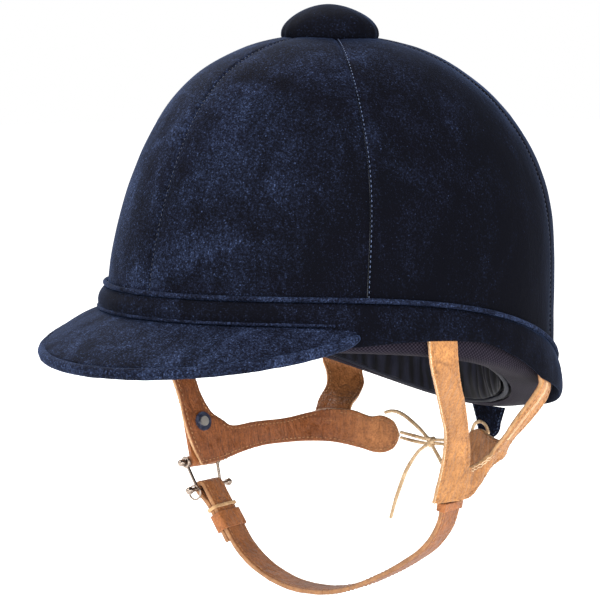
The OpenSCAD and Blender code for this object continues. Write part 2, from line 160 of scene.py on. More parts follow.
def unit(v):
    v = np.asarray(v, float)
    return v / np.maximum(np.linalg.norm(v, axis=-1, keepdims=True), 1e-12)


def smooth(points, k):
    """Curve through given points, with k steps between two of them."""
    p = np.asarray(points, float)
    n = len(p) - 1
    made = []
    for i in range(n):
        a, b, c, d = p[max(0, i - 1)], p[i], p[i + 1], p[min(n, i + 2)]
        for u in np.arange(k) / k:
            bend = (2 * a - 5 * b + 4 * c - d) * u * u + (3 * b - a - 3 * c + d) * u**3
            made.append(0.5 * (2 * b + (c - a) * u + bend))
    made.append(p[n])
    return np.array(made)


def run_of(points):
    """Running length at each point of a line."""
    steps = np.linalg.norm(np.diff(points, axis=0), axis=1)
    return np.concatenate([[0], np.cumsum(steps)])


def sampled(values, run, at):
    return np.stack([np.interp(at, run, values[:, i]) for i in range(3)], -1)


def spaced(points, gap):
    """The same line with points about gap apart, and the running length at each."""
    p = np.asarray(points, float)
    run = run_of(p)
    at = np.linspace(0, run[-1], max(2, int(round(run[-1] / gap)) + 1))
    return sampled(p, run, at), at


def ripple(points, size, seed=0.0):
    """Smooth noise, about -1 to 1, at points in mm, with features about size mm wide."""
    flat = np.asarray(points, float).reshape(-1, 3) / np.asarray(size, float)
    shift = Vector((seed * 7.3, seed * 3.1, seed * 5.7))
    made = [noise.noise(Vector(p) + shift) for p in flat]
    return np.array(made).reshape(np.asarray(points).shape[:-1]) * 1.6


def grid_faces(rows, cols, wrap_rows=False, wrap_cols=False, start=0):
    faces = []
    for i in range(rows if wrap_rows else rows - 1):
        for j in range(cols if wrap_cols else cols - 1):
            a, b = i * cols, ((i + 1) % rows) * cols
            k = (j + 1) % cols
            faces.append((start + a + j, start + a + k, start + b + k, start + b + j))
    return faces


def grid_normals(p, wrap_cols=False):
    du = np.gradient(p, axis=1)
    if wrap_cols:
        du = np.roll(p, -1, axis=1) - np.roll(p, 1, axis=1)
    dv = np.gradient(p, axis=0)
    n = unit(np.cross(du, dv))
    mid = p - np.array([0, lean(60), 20.0])
    return n * np.sign((n * mid).sum(-1, keepdims=True) + 1e-9)


def place(name, mesh, material, body=None, slot=None, *nodes):
    """An object for a mesh; the nodes that it stands for are hidden."""
    mesh.shade_smooth()
    mesh.materials.clear()
    mesh.materials.append(material)
    obj = bpy.data.objects.new(name, mesh)
    bpy.context.scene.collection.objects.link(obj)
    if body:
        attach(obj, body)
    if nodes:
        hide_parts(*nodes)
    return obj


def make(name, shape, material, body=None, slot=None, *nodes, uvs=None):
    """A smooth mesh piece from (verts in mm, faces), riding on a body."""
    verts, faces = shape
    mesh = bpy.data.meshes.new(name)
    mesh.from_pydata((np.asarray(verts, float).reshape(-1, 3) * MM).tolist(), [], faces)
    if uvs is not None:
        layer = mesh.uv_layers.new(name="cloth")
        flat = np.asarray(uvs, float).reshape(-1, 2) * MM
        index = np.zeros(len(mesh.loops), int)
        mesh.loops.foreach_get("vertex_index", index)
        layer.data.foreach_set("uv", flat[index].ravel())
    tool = bmesh.new()
    tool.from_mesh(mesh)
    bmesh.ops.recalc_face_normals(tool, faces=tool.faces)
    tool.to_mesh(mesh)
    tool.free()
    return place(name, mesh, material, body, slot, *nodes)


def paint(mesh, **layers):
    """Named values on a mesh's points, for its material."""
    for label, values in layers.items():
        layer = mesh.attributes.new(label, "FLOAT", "POINT")
        layer.data.foreach_set("value", np.asarray(values).astype(np.float32))


def sheet_solid(outer, inner, wrap=False):
    """Closed thin solid between two grids of the same size."""
    rows, cols = outer.shape[:2]
    n = rows * cols
    faces = grid_faces(rows, cols, False, wrap)
    faces += [tuple(reversed(f)) for f in grid_faces(rows, cols, False, wrap, n)]
    if wrap:
        loops = [range(cols), range(n - 1, n - cols - 1, -1)]
    else:
        near, far = range(cols - 1), range(n - 1, n - cols, -1)
        loops = [[*near, *range(cols - 1, n - cols, cols), *far, *range(n - cols, 0, -cols)]]
    for loop in loops:
        ids = list(loop)
        for a, b in zip(ids, ids[1:] + ids[:1]):
            faces.append((a, a + n, b + n, b))
    return np.concatenate([outer.reshape(-1, 3), inner.reshape(-1, 3)]), faces


def capped(m, n):
    """Faces of a tube with m rings of n points each, and of its two ends."""
    ends = [tuple(range(n)), tuple(reversed(range((m - 1) * n, m * n)))]
    return grid_faces(m, n, False, True) + ends


def rounded(w, h, r, steps=4):
    """Closed outline of a rectangle with round corners, as (across, up) pairs."""
    made = []
    for cx, cy, start in (
        (w / 2 - r, h / 2 - r, 0),
        (r - w / 2, h / 2 - r, 90),
        (r - w / 2, r - h / 2, 180),
        (w / 2 - r, r - h / 2, 270),
    ):
        for i in range(steps + 1):
            a = math.radians(start + 90 * i / steps)
            made.append((cx + r * math.cos(a), cy + r * math.sin(a)))
    return np.array(made)


def hoop(path, out, size, sides=12):
    """Closed round tube along a level loop. size is its radius, alone or for each point."""
    a = np.linspace(0, 2 * np.pi, sides, endpoint=False)
    flat = (size * np.cos(a))[..., None] * out[:, None]
    rings = path[:, None] + flat + (size * np.sin(a))[..., None] * UP
    return rings.reshape(-1, 3), grid_faces(len(path), sides, True, True)


def frames_along(path):
    """Tangent and two side directions that turn as little as they can."""
    f = unit(np.gradient(path, axis=0))
    first = np.array([0, 1.0, 0.2]) if abs(f[0][2]) > 0.95 else UP
    side = unit(np.cross(f[0], first))
    sides = []
    for t in f:
        side = unit(side - t * (side @ t))
        sides.append(side)
    return f, np.array(sides), np.cross(f, sides)


def sweep(path, outline, ends=0.5):
    """Verts and faces of an outline swept on a path. outline is one or one per station."""
    f, u, v = frames_along(path)
    outline = np.asarray(outline, float)
    outline = np.broadcast_to(outline, (len(path), *outline.shape[-2:]))
    rings = [path[i] + o[:, :1] * u[i] + o[:, 1:] * v[i] for i, o in enumerate(outline)]
    step = min(0.4, max(np.abs(outline[0]).min(0).max(), 1e-3))
    for i, away in ((0, -step), (-1, step)):
        o = outline[i] * (1 - ends * 0.5)
        end = path[i] + f[i] * away + o[:, :1] * u[i] + o[:, 1:] * v[i]
        rings.insert(0 if i == 0 else len(rings), end)
    return np.concatenate(rings), capped(len(rings), len(rings[0]))


def circle(r, sides=10, flat=1.0):
    a = np.linspace(0, 2 * np.pi, sides, endpoint=False)
    return np.stack([r * np.cos(a), r * flat * np.sin(a)], -1)


def joined(parts):
    verts, faces, n = [], [], 0
    for v, f in parts:
        verts.append(v)
        faces += [tuple(i + n for i in g) for g in f]
        n += len(v)
    return np.concatenate(verts), faces


def bead(sides=8, rings=5):
    """Template of a unit ball for one stitch."""
    pts = []
    for i in range(1, rings):
        a = math.pi * i / rings
        for j in range(sides):
            b = 2 * math.pi * j / sides
            pts.append((math.cos(a), math.sin(a) * math.cos(b), math.sin(a) * math.sin(b)))
    faces = grid_faces(rings - 1, sides, False, True)
    pts += [(1, 0, 0), (-1, 0, 0)]
    n, e = len(pts), (rings - 2) * sides
    for j in range(sides):
        k = (j + 1) % sides
        faces += [(n - 2, k, j), (n - 1, e + j, e + k)]
    return np.array(pts), faces


BEAD = bead()


def stitches(rows, long, wide, high):
    """One bead per (centre, along, normal), as verts and faces."""
    pts, faces = BEAD
    made = []
    for c, a, n in rows:
        a = unit(a)
        n = unit(n - a * (n @ a))
        axes = np.array([a * long, np.cross(n, a) * wide, n * high]) / 2
        made.append((c + pts @ axes, faces))
    return joined(made)


# ---------- materials ----------


class Finish:
    """A node material with a few short ways to build it."""

    def __init__(self, name, **sockets):
        self.mat = bpy.data.materials.new(name)
        self.mat.use_nodes = True
        self.nodes, self.links = self.mat.node_tree.nodes, self.mat.node_tree.links
        self.bsdf = self.nodes["Principled BSDF"]
        for key, value in sockets.items():
            self.put(self.bsdf.inputs[key.replace("_", " ")], value)
        self.where = self.nodes.new("ShaderNodeTexCoord").outputs["Object"]

    def put(self, socket, value):
        """Link a socket, or set a number, a vector or a colour on it."""
        if hasattr(value, "is_linked"):
            self.links.new(value, socket)
        elif np.ndim(value) and len(value) < len(socket.default_value):
            socket.default_value = (*value, 1)
        else:
            socket.default_value = value

    def node(self, kind, **sockets):
        n = self.nodes.new("ShaderNode" + kind)
        for key, value in sockets.items():
            self.put(n.inputs[key.replace("_", " ")], value)
        return n

    def noise(self, scale, detail=3.0, rough=0.55, twist=0.0, where=None):
        return self.node(
            "TexNoise", Scale=scale, Detail=detail, Roughness=rough, Distortion=twist,
            Vector=self.where if where is None else where,
        ).outputs["Fac"]

    def stretched(self, scale, shift=(0, 0, 0), turn=(0, 0, 0)):
        return self.node(
            "Mapping", Scale=scale, Location=shift, Rotation=turn, Vector=self.where
        ).outputs["Vector"]

    def cells(self, scale):
        return self.node("TexVoronoi", Scale=scale, Vector=self.where).outputs["Distance"]

    def math(self, kind, *values, clamp=False):
        n = self.nodes.new("ShaderNodeMath")
        n.operation = kind
        n.use_clamp = clamp
        for socket, value in zip(n.inputs, values):
            self.put(socket, value)
        return n.outputs[0]

    def total(self, *parts):
        """Sum of (socket, weight) pairs."""
        made = None
        for socket, weight in parts:
            part = self.math("MULTIPLY", socket, weight)
            made = part if made is None else self.math("ADD", made, part)
        return made

    def ramp(self, fac, *stops):
        n = self.node("ValToRGB", Fac=fac)
        while len(n.color_ramp.elements) < len(stops):
            n.color_ramp.elements.new(0.5)
        for e, (at, colour) in zip(n.color_ramp.elements, stops):
            e.position = at
            e.color = (*colour, 1)
        return n.outputs["Color"]

    def mix(self, fac, a, b, kind="MIX"):
        n = self.nodes.new("ShaderNodeMix")
        n.data_type = "RGBA"
        n.blend_type = kind
        for i, value in ((0, fac), (6, a), (7, b)):
            self.put(n.inputs[i], value)
        return n.outputs[2]

    def attribute(self, name):
        n = self.nodes.new("ShaderNodeAttribute")
        n.attribute_name = name
        return n.outputs["Fac"]

    def colour(self, socket):
        self.links.new(socket, self.bsdf.inputs["Base Color"])

    def rough(self, fac, low, high):
        n = self.node("MapRange", Value=fac, To_Min=low, To_Max=high)
        self.links.new(n.outputs[0], self.bsdf.inputs["Roughness"])

    def bump(self, *heights):
        """heights are (height socket, strength, distance in metres), coarse first."""
        last = None
        for height, strength, distance in heights:
            n = self.node("Bump", Strength=strength, Distance=distance, Height=height)
            if last:
                self.links.new(last, n.inputs["Normal"])
            last = n.outputs["Normal"]
        self.links.new(last, self.bsdf.inputs["Normal"])


def velvet(name, shift=(0.0, 0.0, 0.0), lift=0.0, painted_light_slope=0.0):
    """Navy velvet: brushed light and dark patches over a short pile, with painted light: lift
    makes the whole copy lighter or darker, and painted_light_slope lightens it towards the top and
    the key light's side.
    """
    f = Finish(
        name, Sheen_Weight=0.10, Sheen_Roughness=0.25, Specular_IOR_Level=0.03,
        Sheen_Tint=(0.26, 0.44, 1.0),
    )
    patches = f.noise(24, 4, 0.62, 0.9, f.stretched((1, 1, 0.8), shift))
    brushed = f.noise(95, 4, 0.66, 0.6, f.stretched((1, 1, 0.45), shift, (0.3, 0.2, 0)))
    pile = f.noise(820, 2, 0.75)
    specks = f.math("POWER", f.noise(1350, 1, 0.5, 0.0, f.stretched((1, 1, 1), (3, 1, 2))), 5.0)
    tone = f.total((brushed, 0.60), (patches, 0.80), (pile, 1.15), (specks, 1.6))
    # Painted light and shade: lift makes this copy of the velvet lighter or darker as a whole.
    tone = f.math("ADD", tone, lift - 0.97)
    # Painted light: tone rises towards the top and the key light's side, along (-0.55, -0.60,
    # 0.58), and falls away from it.
    if painted_light_slope:
        far = f.node("VectorMath", Vector=f.where)
        far.operation = "DOT_PRODUCT"
        far.inputs[1].default_value = (-0.55, -0.60, 0.58)
        up = f.math("MULTIPLY", f.math("ADD", far.outputs["Value"], -0.075), painted_light_slope)
        tone = f.math("ADD", tone, up)
    stops = (
        (0.20, (0.0020, 0.0022, 0.0042)), (0.45, (0.0046, 0.0060, 0.0130)),
        (0.68, (0.0130, 0.0190, 0.0420)), (1.00, (0.0460, 0.0680, 0.1420)),
    )
    f.colour(f.ramp(tone, *stops))
    f.rough(pile, 0.75, 0.95)
    f.bump((brushed, 0.25, 0.0012), (pile, 0.5, 0.00025))
    return f.mat


def leather(name, outer, inner, sides=True):
    """Grained leather. Its faces' colours, pale cut edges, ply and painted shade in creases and
    seam furrows come from attributes.
    """
    f = Finish(name, Specular_IOR_Level=0.35, Sheen_Weight=0.08)
    blotch = f.noise(45, 4, 0.6, 0.4)
    wear = f.noise(260, 4, 0.65)
    pores = f.cells(1100)
    base = outer
    if sides:
        ply = f.attribute("ply")
        base = f.mix(ply, outer, inner)
    shade = f.ramp(blotch, (0.30, (0.80, 0.73, 0.66)), (0.68, (1.16, 1.13, 1.08)))
    tone = f.mix(0.9, base, shade, "MULTIPLY")
    fine = f.ramp(wear, (0.34, (0.76, 0.69, 0.61)), (0.64, (1.12, 1.09, 1.05)))
    tone = f.mix(0.85, tone, fine, "MULTIPLY")
    speck = f.ramp(f.noise(900, 2, 0.7), (0.38, (0.60, 0.52, 0.44)), (0.56, (1.05, 1.03, 1.0)))
    tone = f.mix(0.75, tone, speck, "MULTIPLY")
    if sides:
        cut = f.math("MULTIPLY", f.attribute("edge"), wear)
        cut = f.math("MULTIPLY", cut, 1.5, clamp=True)
        tone = f.mix(cut, tone, (0.66, 0.42, 0.22))
        # Painted shade: the 'dark' attribute darkens creases, wrinkle hollows and seam furrows.
        tone = f.mix(f.attribute("dark"), tone, (0.10, 0.035, 0.012))
    f.colour(tone)
    f.rough(wear, 0.42, 0.66)
    creases = f.noise(190, 5, 0.7, 1.2, f.stretched((1, 1, 0.5)))
    wrinkle = f.noise(230, 2, 0.45, 0.9, f.stretched((1, 1, 0.26)))
    f.bump((creases, 0.5, 0.0013), (wrinkle, 0.75, 0.0024), (pores, 0.35, 0.00026))
    return f.mat


def woven(name, dark, light, pitch):
    """Cloth with a dotted weave that follows its own cut, from its map in metres."""
    f = Finish(name, Sheen_Weight=0.02, Specular_IOR_Level=0.03)
    cloth = f.nodes.new("ShaderNodeUVMap")
    cloth.uv_map = "cloth"
    parts = f.node("SeparateXYZ", Vector=cloth.outputs["UV"])
    turn = 2 * math.pi / (pitch * MM)
    across, along = (
        f.math("SINE", f.math("MULTIPLY", parts.outputs[i], turn)) for i in (0, 1)
    )
    dots = f.math("MULTIPLY", across, along)
    dust = f.noise(420, 3, 0.6)
    shown = f.math("MULTIPLY_ADD", dots, 0.5, 0.25)
    shown = f.math("MULTIPLY", shown, f.math("ADD", dust, 0.35), clamp=True)
    tone = f.mix(shown, dark, light)
    fade = f.ramp(f.noise(30, 3), (0.3, (0.8, 0.8, 0.8)), (0.7, (1.15, 1.15, 1.15)))
    f.colour(f.mix(0.8, tone, fade, "MULTIPLY"))
    f.rough(dust, 0.7, 0.9)
    f.bump((dots, 0.5, 0.00025), (dust, 0.2, 0.0002))
    return f.mat


def satin(name, dark, light):
    """Satin with painted shade in its folds."""
    f = Finish(name, Sheen_Weight=0.0, Specular_IOR_Level=0.10)
    threads = f.noise(900, 2, 0.5, 0.0, f.stretched((1, 1, 0.12)))
    broad = f.noise(38, 3, 0.5, 0.3)
    tone = f.total((threads, 0.35), (broad, 0.65), (f.attribute("fold"), -0.40))
    f.colour(f.ramp(tone, (0.30, dark), (0.66, light)))
    f.rough(threads, 0.50, 0.68)
    f.bump((threads, 0.3, 0.0001))
    return f.mat


def thread(name, dark, light, pitch=900):
    """Twisted sewing thread or lace."""
    f = Finish(name, Sheen_Weight=0.1, Specular_IOR_Level=0.3)
    twist = f.noise(pitch, 3, 0.6, 0.4, f.stretched((1, 1, 0.45), turn=(0.5, 0.4, 0)))
    wear = f.noise(120, 3, 0.6)
    f.colour(f.ramp(f.total((twist, 0.5), (wear, 0.5)), (0.32, dark), (0.62, light)))
    f.rough(wear, 0.5, 0.75)
    f.bump((twist, 0.5, 0.00025))
    return f.mat


def metal(name, colour, rough_low, rough_high, scratch=0.12):
    f = Finish(name, Metallic=1.0)
    brush = f.noise(900, 4, 0.7, 0.0, f.stretched((1, 0.15, 1)))
    smudge = f.noise(140, 3, 0.5)
    f.colour(f.ramp(smudge, (0.35, tuple(c * 0.82 for c in colour)), (0.65, colour)))
    f.rough(f.total((brush, 0.5), (smudge, 0.5)), rough_low, rough_high)
    f.bump((brush, scratch, 0.00004))
    return f.mat


def enamel(name, dark, light):
    f = Finish(name, Coat_Weight=0.4, Specular_IOR_Level=0.5)
    chips = f.noise(420, 4, 0.65)
    rub = f.noise(1300, 2, 0.6)
    f.colour(f.ramp(chips, (0.4, dark), (0.72, light)))
    f.rough(rub, 0.25, 0.5)
    f.bump((rub, 0.15, 0.0001))
    return f.mat


def hard_shell(name, dark, light, grain):
    f = Finish(name, Specular_IOR_Level=0.4)
    beads = f.cells(grain)
    haze = f.noise(60, 3)
    f.colour(f.ramp(f.total((beads, 0.6), (haze, 0.6)), (0.25, dark), (0.75, light)))
    f.rough(haze, 0.45, 0.75)
    f.bump((beads, 0.35, 0.0004))
    return f.mat


def woven_plain(name):
    """Close black cloth over foam, with no map of its own."""
    f = Finish(name, Sheen_Weight=0.0, Specular_IOR_Level=0.1)
    weave = f.cells(1400)
    tone = f.total((weave, 0.6), (f.noise(60, 3), 0.6))
    f.colour(f.ramp(tone, (0.3, (0.004, 0.004, 0.006)), (0.7, (0.014, 0.014, 0.018))))
    f.rough(weave, 0.7, 0.92)
    f.bump((weave, 0.4, 0.0002))
    return f.mat


# ---------- camera, floor and light ----------


def make_camera(azimuth=47.5, elevation=5.9, distance=1.4, across=0.3174, left=0.0180):
    a, e = math.radians(azimuth), math.radians(elevation)
    back = Vector((math.sin(a) * math.cos(e), -math.cos(a) * math.cos(e), math.sin(e)))
    right = Vector((math.cos(a), math.sin(a), 0))
    data = bpy.data.cameras.new("camera")
    data.sensor_width = 36
    data.lens = 36 * distance / across
    data.clip_start, data.clip_end = 0.05, 50
    cam = bpy.data.objects.new("camera", data)
    bpy.context.scene.collection.objects.link(cam)
    cam.location = -right * left + back * distance
    cam.rotation_mode = "QUATERNION"
    cam.rotation_quaternion = (-back).to_track_quat("-Z", "Y")
    bpy.context.scene.camera = cam
    return back, right


def soft_light(name, where, size, power, colour, at=(0, 0, 0.02)):
    data = bpy.data.lights.new(name, "AREA")
    data.shape = "DISK"
    data.size, data.energy, data.color = size, power, colour
    lamp = bpy.data.objects.new(name, data)
    bpy.context.scene.collection.objects.link(lamp)
    lamp.location = where
    lamp.rotation_mode = "QUATERNION"
    lamp.rotation_quaternion = (Vector(at) - Vector(where)).to_track_quat("-Z", "Y")


def make_stage(back, right):
    world = bpy.data.worlds.new("studio")
    world.use_nodes = True
    world.node_tree.nodes["Background"].inputs["Color"].default_value = (1, 1, 1, 1)
    world.node_tree.nodes["Background"].inputs["Strength"].default_value = 1.0
    bpy.context.scene.world = world
    bpy.context.scene.view_settings.view_transform = "Standard"
    low = CAD_BOX[0].z - 0.02
    size = 6.0
    mesh = bpy.data.meshes.new("floor")
    mesh.from_pydata(
        [(-size, -size, low), (size, -size, low), (size, size, low), (-size, size, low)],
        [],
        [(0, 1, 2, 3)],
    )
    floor = bpy.data.objects.new("floor", mesh)
    bpy.context.scene.collection.objects.link(floor)
    f = Finish("floor_paper", Roughness=0.9, Specular_IOR_Level=0.0, Emission_Strength=0.35)
    f.bsdf.inputs["Emission Color"].default_value = (1, 1, 1, 1)
    f.colour(f.ramp(f.noise(9, 2), (0.3, (0.86, 0.86, 0.86)), (0.7, (0.89, 0.89, 0.89))))
    under = f.nodes.new("ShaderNodeNewGeometry")
    clear = f.nodes.new("ShaderNodeBsdfTransparent")
    pick = f.nodes.new("ShaderNodeMixShader")
    f.links.new(under.outputs["Backfacing"], pick.inputs[0])
    f.links.new(f.bsdf.outputs[0], pick.inputs[1])
    f.links.new(clear.outputs[0], pick.inputs[2])
    f.links.new(pick.outputs[0], f.nodes["Material Output"].inputs["Surface"])
    mesh.materials.append(f.mat)
    up = Vector((0, 0, 1))
    soft_light("key", back * 0.7 - right * 0.9 + up * 1.1, 0.9, 26, (1, 0.98, 0.95))
    soft_light("fill", back * 0.9 + right * 1.0 + up * 0.3, 1.0, 9, (0.95, 0.97, 1))
    soft_light("back", -back * 1.0 - right * 0.5 + up * 1.2, 0.8, 16, (1, 1, 1))
    soft_light("low", back * 1.1 - up * 0.1, 0.6, 4, (1, 0.97, 0.94), (0, 0, -0.08))


# ---------- nape lace ----------

LACE_ROUTE = [
    [-38, 75.2, -71.6], [-35, 77, -70.6], [-31, 78, -70.8], [-25, 78, -72.4],
    [-18, 77.5, -75.4], [-11, 77, -79], [-6, 76.6, -82.4], [-3.5, 76.4, -85],
    [-7, 76.2, -87], [-12, 76, -90.5], [-17, 76, -96], [-22, 76, -103],
    [-26, 76, -111], [-30, 76, -120], [-34, 76, -131],
]
LACE_STRANDS = [
    [[-30.7, 80.6, -82.6], [-20, 80, -83.2], [-12, 79, -83.6], [-5.5, 77.6, -83.6]],
    [[-30.7, 80.6, -85.6], [-20, 80, -86.2], [-12, 79, -86.2], [-5.5, 77.6, -85.6]],
    [[19, 81.4, -81.2], [13, 80.6, -81.8], [6, 79, -82.6], [-0.5, 77.4, -83]],
    [[19, 81.5, -84], [13, 80.8, -84.5], [6, 79.2, -85], [-0.5, 77.4, -85]],
    [[-1.6, 76, -86], [1, 75.6, -88.6], [4, 75.2, -91.4], [7, 75, -95]],
]
LEFT_LACE_END = [
    [20.6, 84, -78.6], [20.8, 84.9, -75], [22.6, 85.2, -71.8], [26.8, 84.9, -70.6],
    [31.5, 83.9, -72.2], [34.5, 82.9, -76],
]
KNOT_AT = np.array([-3, 76.5, -84.0])


def thong(route, d):
    """Slightly flat lace that turns a little along its length."""
    path, run = spaced(smooth(route, 8), 1.1)
    o = circle(d / 2, 10, 0.82)
    made = []
    for a in np.radians(35 * np.sin(run / 9)):
        c, s = np.cos(a), np.sin(a)
        made.append(np.stack([o[:, 0] * c - o[:, 1] * s, o[:, 0] * s + o[:, 1] * c], -1))
    return path, *sweep(path, made)


def make_lace():
    beige = thread("lace_thong", (0.30, 0.175, 0.085), (0.72, 0.52, 0.31), 700)
    path, *shape = thong(LACE_ROUTE, LACE_D)
    lace = make("nape_lace_thong", shape, beige, "right_harness", "lace", "nape_lace")
    shape = joined([thong(r, 2.2)[1:] for r in LACE_STRANDS])
    strands = make(
        "nape_lace_strands", shape, beige, "right_harness", "lace", "lace_strands"
    )
    shape = thong(LEFT_LACE_END, 2.0)[1:]
    end = make("nape_lace_end", shape, beige, "left_harness", "lace", "left_lace_end")
    a = np.linspace(0, 2 * np.pi, 72, endpoint=False)
    x, z = np.sin(a) + 2 * np.sin(2 * a), np.cos(a) - 2 * np.cos(2 * a)
    knot = np.stack([x, -1.1 * np.sin(3 * a), z], -1)
    f = unit(np.roll(knot, -1, 0) - np.roll(knot, 1, 0))
    u = unit(np.cross(f, np.array([0, 1.0, 0])))
    v = np.cross(f, u)
    o = circle(1.15, 8)
    rings = [
        KNOT_AT + knot[i] * 0.8 + o[:, :1] * u[i] + o[:, 1:] * v[i] for i in range(len(a))
    ]
    shape = np.concatenate(rings), grid_faces(len(a), 8, True, True)
    bow = make("nape_lace_knot", shape, beige, "right_harness", "lace", "lace_knot")


# ---------- velvet crown ----------

TOP_W = 84.0
UPPER = 190.0


def crown_rows(low, rows, d=0.0, last=TOP_W):
    """Heights from low to near the top, evenly spread over the wall and the dome."""
    share = np.clip(low / (CROWN_H - d), 0, 1) ** (CROWN_N / 2)
    first = np.where(low < 0, low, np.degrees(np.arcsin(share)) / last * UPPER)
    q = first[None, :] + (UPPER - first[None, :]) * np.linspace(0, 1, rows)[:, None]
    up = crown_z(np.clip(q, 0, None) / UPPER * last, d)
    return np.where(q < 0, q, up)


def make_panel(name, node, t0, t1, material, seed):
    cols, rows = 84, 74
    u = (1 - np.cos(np.pi * np.linspace(0, 1, cols))) / 2
    t = t0 + 0.1 + (t1 - t0 - 0.2) * u
    z = crown_rows(np.maximum(band_low(t) + 2, rim_z(t) + 9), rows)
    tt = np.broadcast_to(t, z.shape)
    p = wall(tt, z, 0)
    n = grid_normals(p)
    radius = np.linalg.norm(p[..., :2] - np.stack([0 * z, lean(z)], -1), axis=-1)
    s = np.radians(np.minimum(tt - t0, t1 - tt)) * radius
    pull = 1.0 * np.exp(-((s / 1.5) ** 2)) + 0.35 * np.exp(-((s / 7) ** 2))
    pucker = 0.16 * ripple(p, (9, 9, 4.5), seed) * np.exp(-s / 9)
    soft = 0.30 * ripple(p, (34, 34, 46), seed + 3) + 0.10 * ripple(p, 13, seed + 5)
    depth = np.clip(pull - (pucker + soft) * np.clip(s / 3, 0, 1), -0.6, 1.2)
    shape = sheet_solid(p - n * depth[..., None], p - n * 1.34)
    make(name, shape, material, "helmet", "velvet", node)


def make_crown():
    looks = {"left": (0.31, 0.12, 0.05), "right": (0.92, 0.40, 0.20)}
    spans = (("front", 0, 60), ("side", 60, 127.5), ("rear", 127.5, 180))
    for side, sign in (("left", 1), ("right", -1)):
        for i, (part, a, b) in enumerate(spans):
            t0, t1 = sorted((sign * a, sign * b))
            node = f"velvet_{part}_{side}"
            cloth = velvet(node, tuple(c + 0.37 * i for c in looks[side]), 0.0, 2.2)
            seed = i + (4 if sign < 0 else 0)
            make_panel(f"crown_{part}_{side}", node, t0, t1, cloth, seed)


def make_crown_stitching(name, seams, cloth):
    rows = []
    for t in seams:
        low = float(max(band_top(t) + 3, 4 if abs(t) < 70 else band_top(t) + 3))
        z = crown_rows(np.array([low]), 400, last=80)[:, 0]
        line, _ = spaced(wall(t, z, 0.62), 2.5)
        along = unit(np.gradient(line, axis=0))
        out = unit(line - np.array([0, lean(60), 10.0]))
        side = unit(np.cross(along, out))
        for c, a, n, b in zip(line[:-1], along, out, side):
            rows.append((c + b * 0.55, a, n))
    make(name, stitches(rows, 1.35, 0.5, 0.45), cloth, "helmet", "velvet")


# ---------- band, welts, button and tape ----------


def make_band(cloth, edge_cloth):
    t = np.arange(0, 360, 1.25)
    a = turned(t)
    rise = np.clip((a - 47) / 9, 0, 1)
    drop = 10 * rise * rise * (3 - 2 * rise) * np.clip((90 - a) / 33, 0, 1)
    inner = band_low(t)
    zt, zb = band_top(t), inner - drop
    h, tall = zt - zb, zt - inner
    s = np.linspace(0, 1, 18)[:, None]
    d = -0.6 - 2.9 * s - 2.6 * np.sin(np.pi * (0.03 + 0.94 * s)) ** 0.6
    outer = wall(t[None, :], zt - h * s, d + 0 * t)
    fold = 0.34 * ripple(outer, (16, 16, 7), 2) + 0.14 * ripple(outer, (5, 5, 14), 6)
    near = (np.sin(np.pi * s) ** 0.5) * (0.6 + 0.4 * (a > 60))
    outer = outer + outward(t)[None] * (np.clip(fold, -0.45, 0.45) * near)[..., None]
    back = (
        (zb - 0.45, -3.75), (zb - 0.35, -3.2), (zb + 0.2, -2.96),
        (inner + tall * 0.68, -2.95), (inner + tall * 0.74, -0.1), (zt, -0.1),
    )
    rows = np.concatenate([outer, np.array([wall(t, z, k) for z, k in back])])
    shape = np.swapaxes(rows, 0, 1), grid_faces(len(t), len(rows), True, True)
    band = make("padded_band", shape, cloth, "helmet", "velvet", "velvet_band")

    def line(around, z, depth, seed):
        path = wall(around, z, depth)
        return path + outward(around) * (0.08 * ripple(path, 6, seed))[:, None]

    shape = hoop(line(t, zt + 1.5, -1.45, 1), outward(t), 1.25)
    make("band_top_welt", shape, edge_cloth, "helmet", "velvet", "band_welt")
    front = np.arange(-53, 53.1, 1.25)
    shape = sweep(line(front, band_low(front) + 0.1, -4.6, 4), circle(0.8, 10))
    make("band_lower_welt", shape, edge_cloth, "helmet", "velvet")


def make_peak(cloth, edge_cloth, under):
    t = np.linspace(-PEAK_SPAN, PEAK_SPAN, 121)
    reach = peak_reach(t)
    v = np.linspace(0, 1, 26)[:, None]
    share = (1 - 0.8 / reach) * v
    s = reach * (1 - share) - 0.8
    lift = 1.9 * np.sin(np.pi * v) ** 0.8 * np.clip(reach / 30, 0, 1)
    tuck = 0.30 * np.exp(-(((s - 1.6) / 0.7) ** 2)) - 0.15
    top = peak_at(t[None, :], share, tuck - lift)
    soft = 0.30 * ripple(top, (24, 24, 16), 8) + 0.10 * ripple(top, 8, 9)
    fade = np.sin(np.pi * np.clip(v, 0.02, 0.98)) ** 0.5
    top = top + UP * (np.clip(soft, -0.4, 0.4) * fade)[..., None]
    shape = sheet_solid(top, peak_at(t[None, :], share, 1.25))
    make("peak_cover", shape, cloth, "helmet", "velvet", "peak_velvet")

    low = peak_at(t[None, :], share, 4.45)
    sag = np.clip(0.35 * ripple(low, (14, 14, 9), 12), -0.2, 0.35)
    lower = peak_at(t[None, :], share, 5.45 - 0.5 * np.exp(-((s / 2) ** 2)))
    lower = lower - UP * (sag * fade)[..., None]
    uv = np.stack([np.broadcast_to(t * 2.0, s.shape), reach * share], -1)
    make(
        "peak_under_lining", sheet_solid(lower, low), under, "helmet", "lining",
        "peak_lining", uvs=np.concatenate([uv.reshape(-1, 2)] * 2),
    )

    fine = np.linspace(-PEAK_SPAN, PEAK_SPAN, 181)
    path = peak_at(fine, 1, 2.6)
    swell = 1 + 0.04 * ripple(path, 7, 21) + 0.02 * ripple(path, 3, 22)
    ends = np.clip((PEAK_SPAN - np.abs(fine)) / 3, 0, 1) ** 0.5
    rings = [circle(2.9 * w * (0.55 + 0.45 * e), 16) for w, e in zip(swell, ends)]
    shape = sweep(path, rings, 0.9)
    make("peak_rolled_edge", shape, edge_cloth, "helmet", "velvet", "peak_edge_roll")


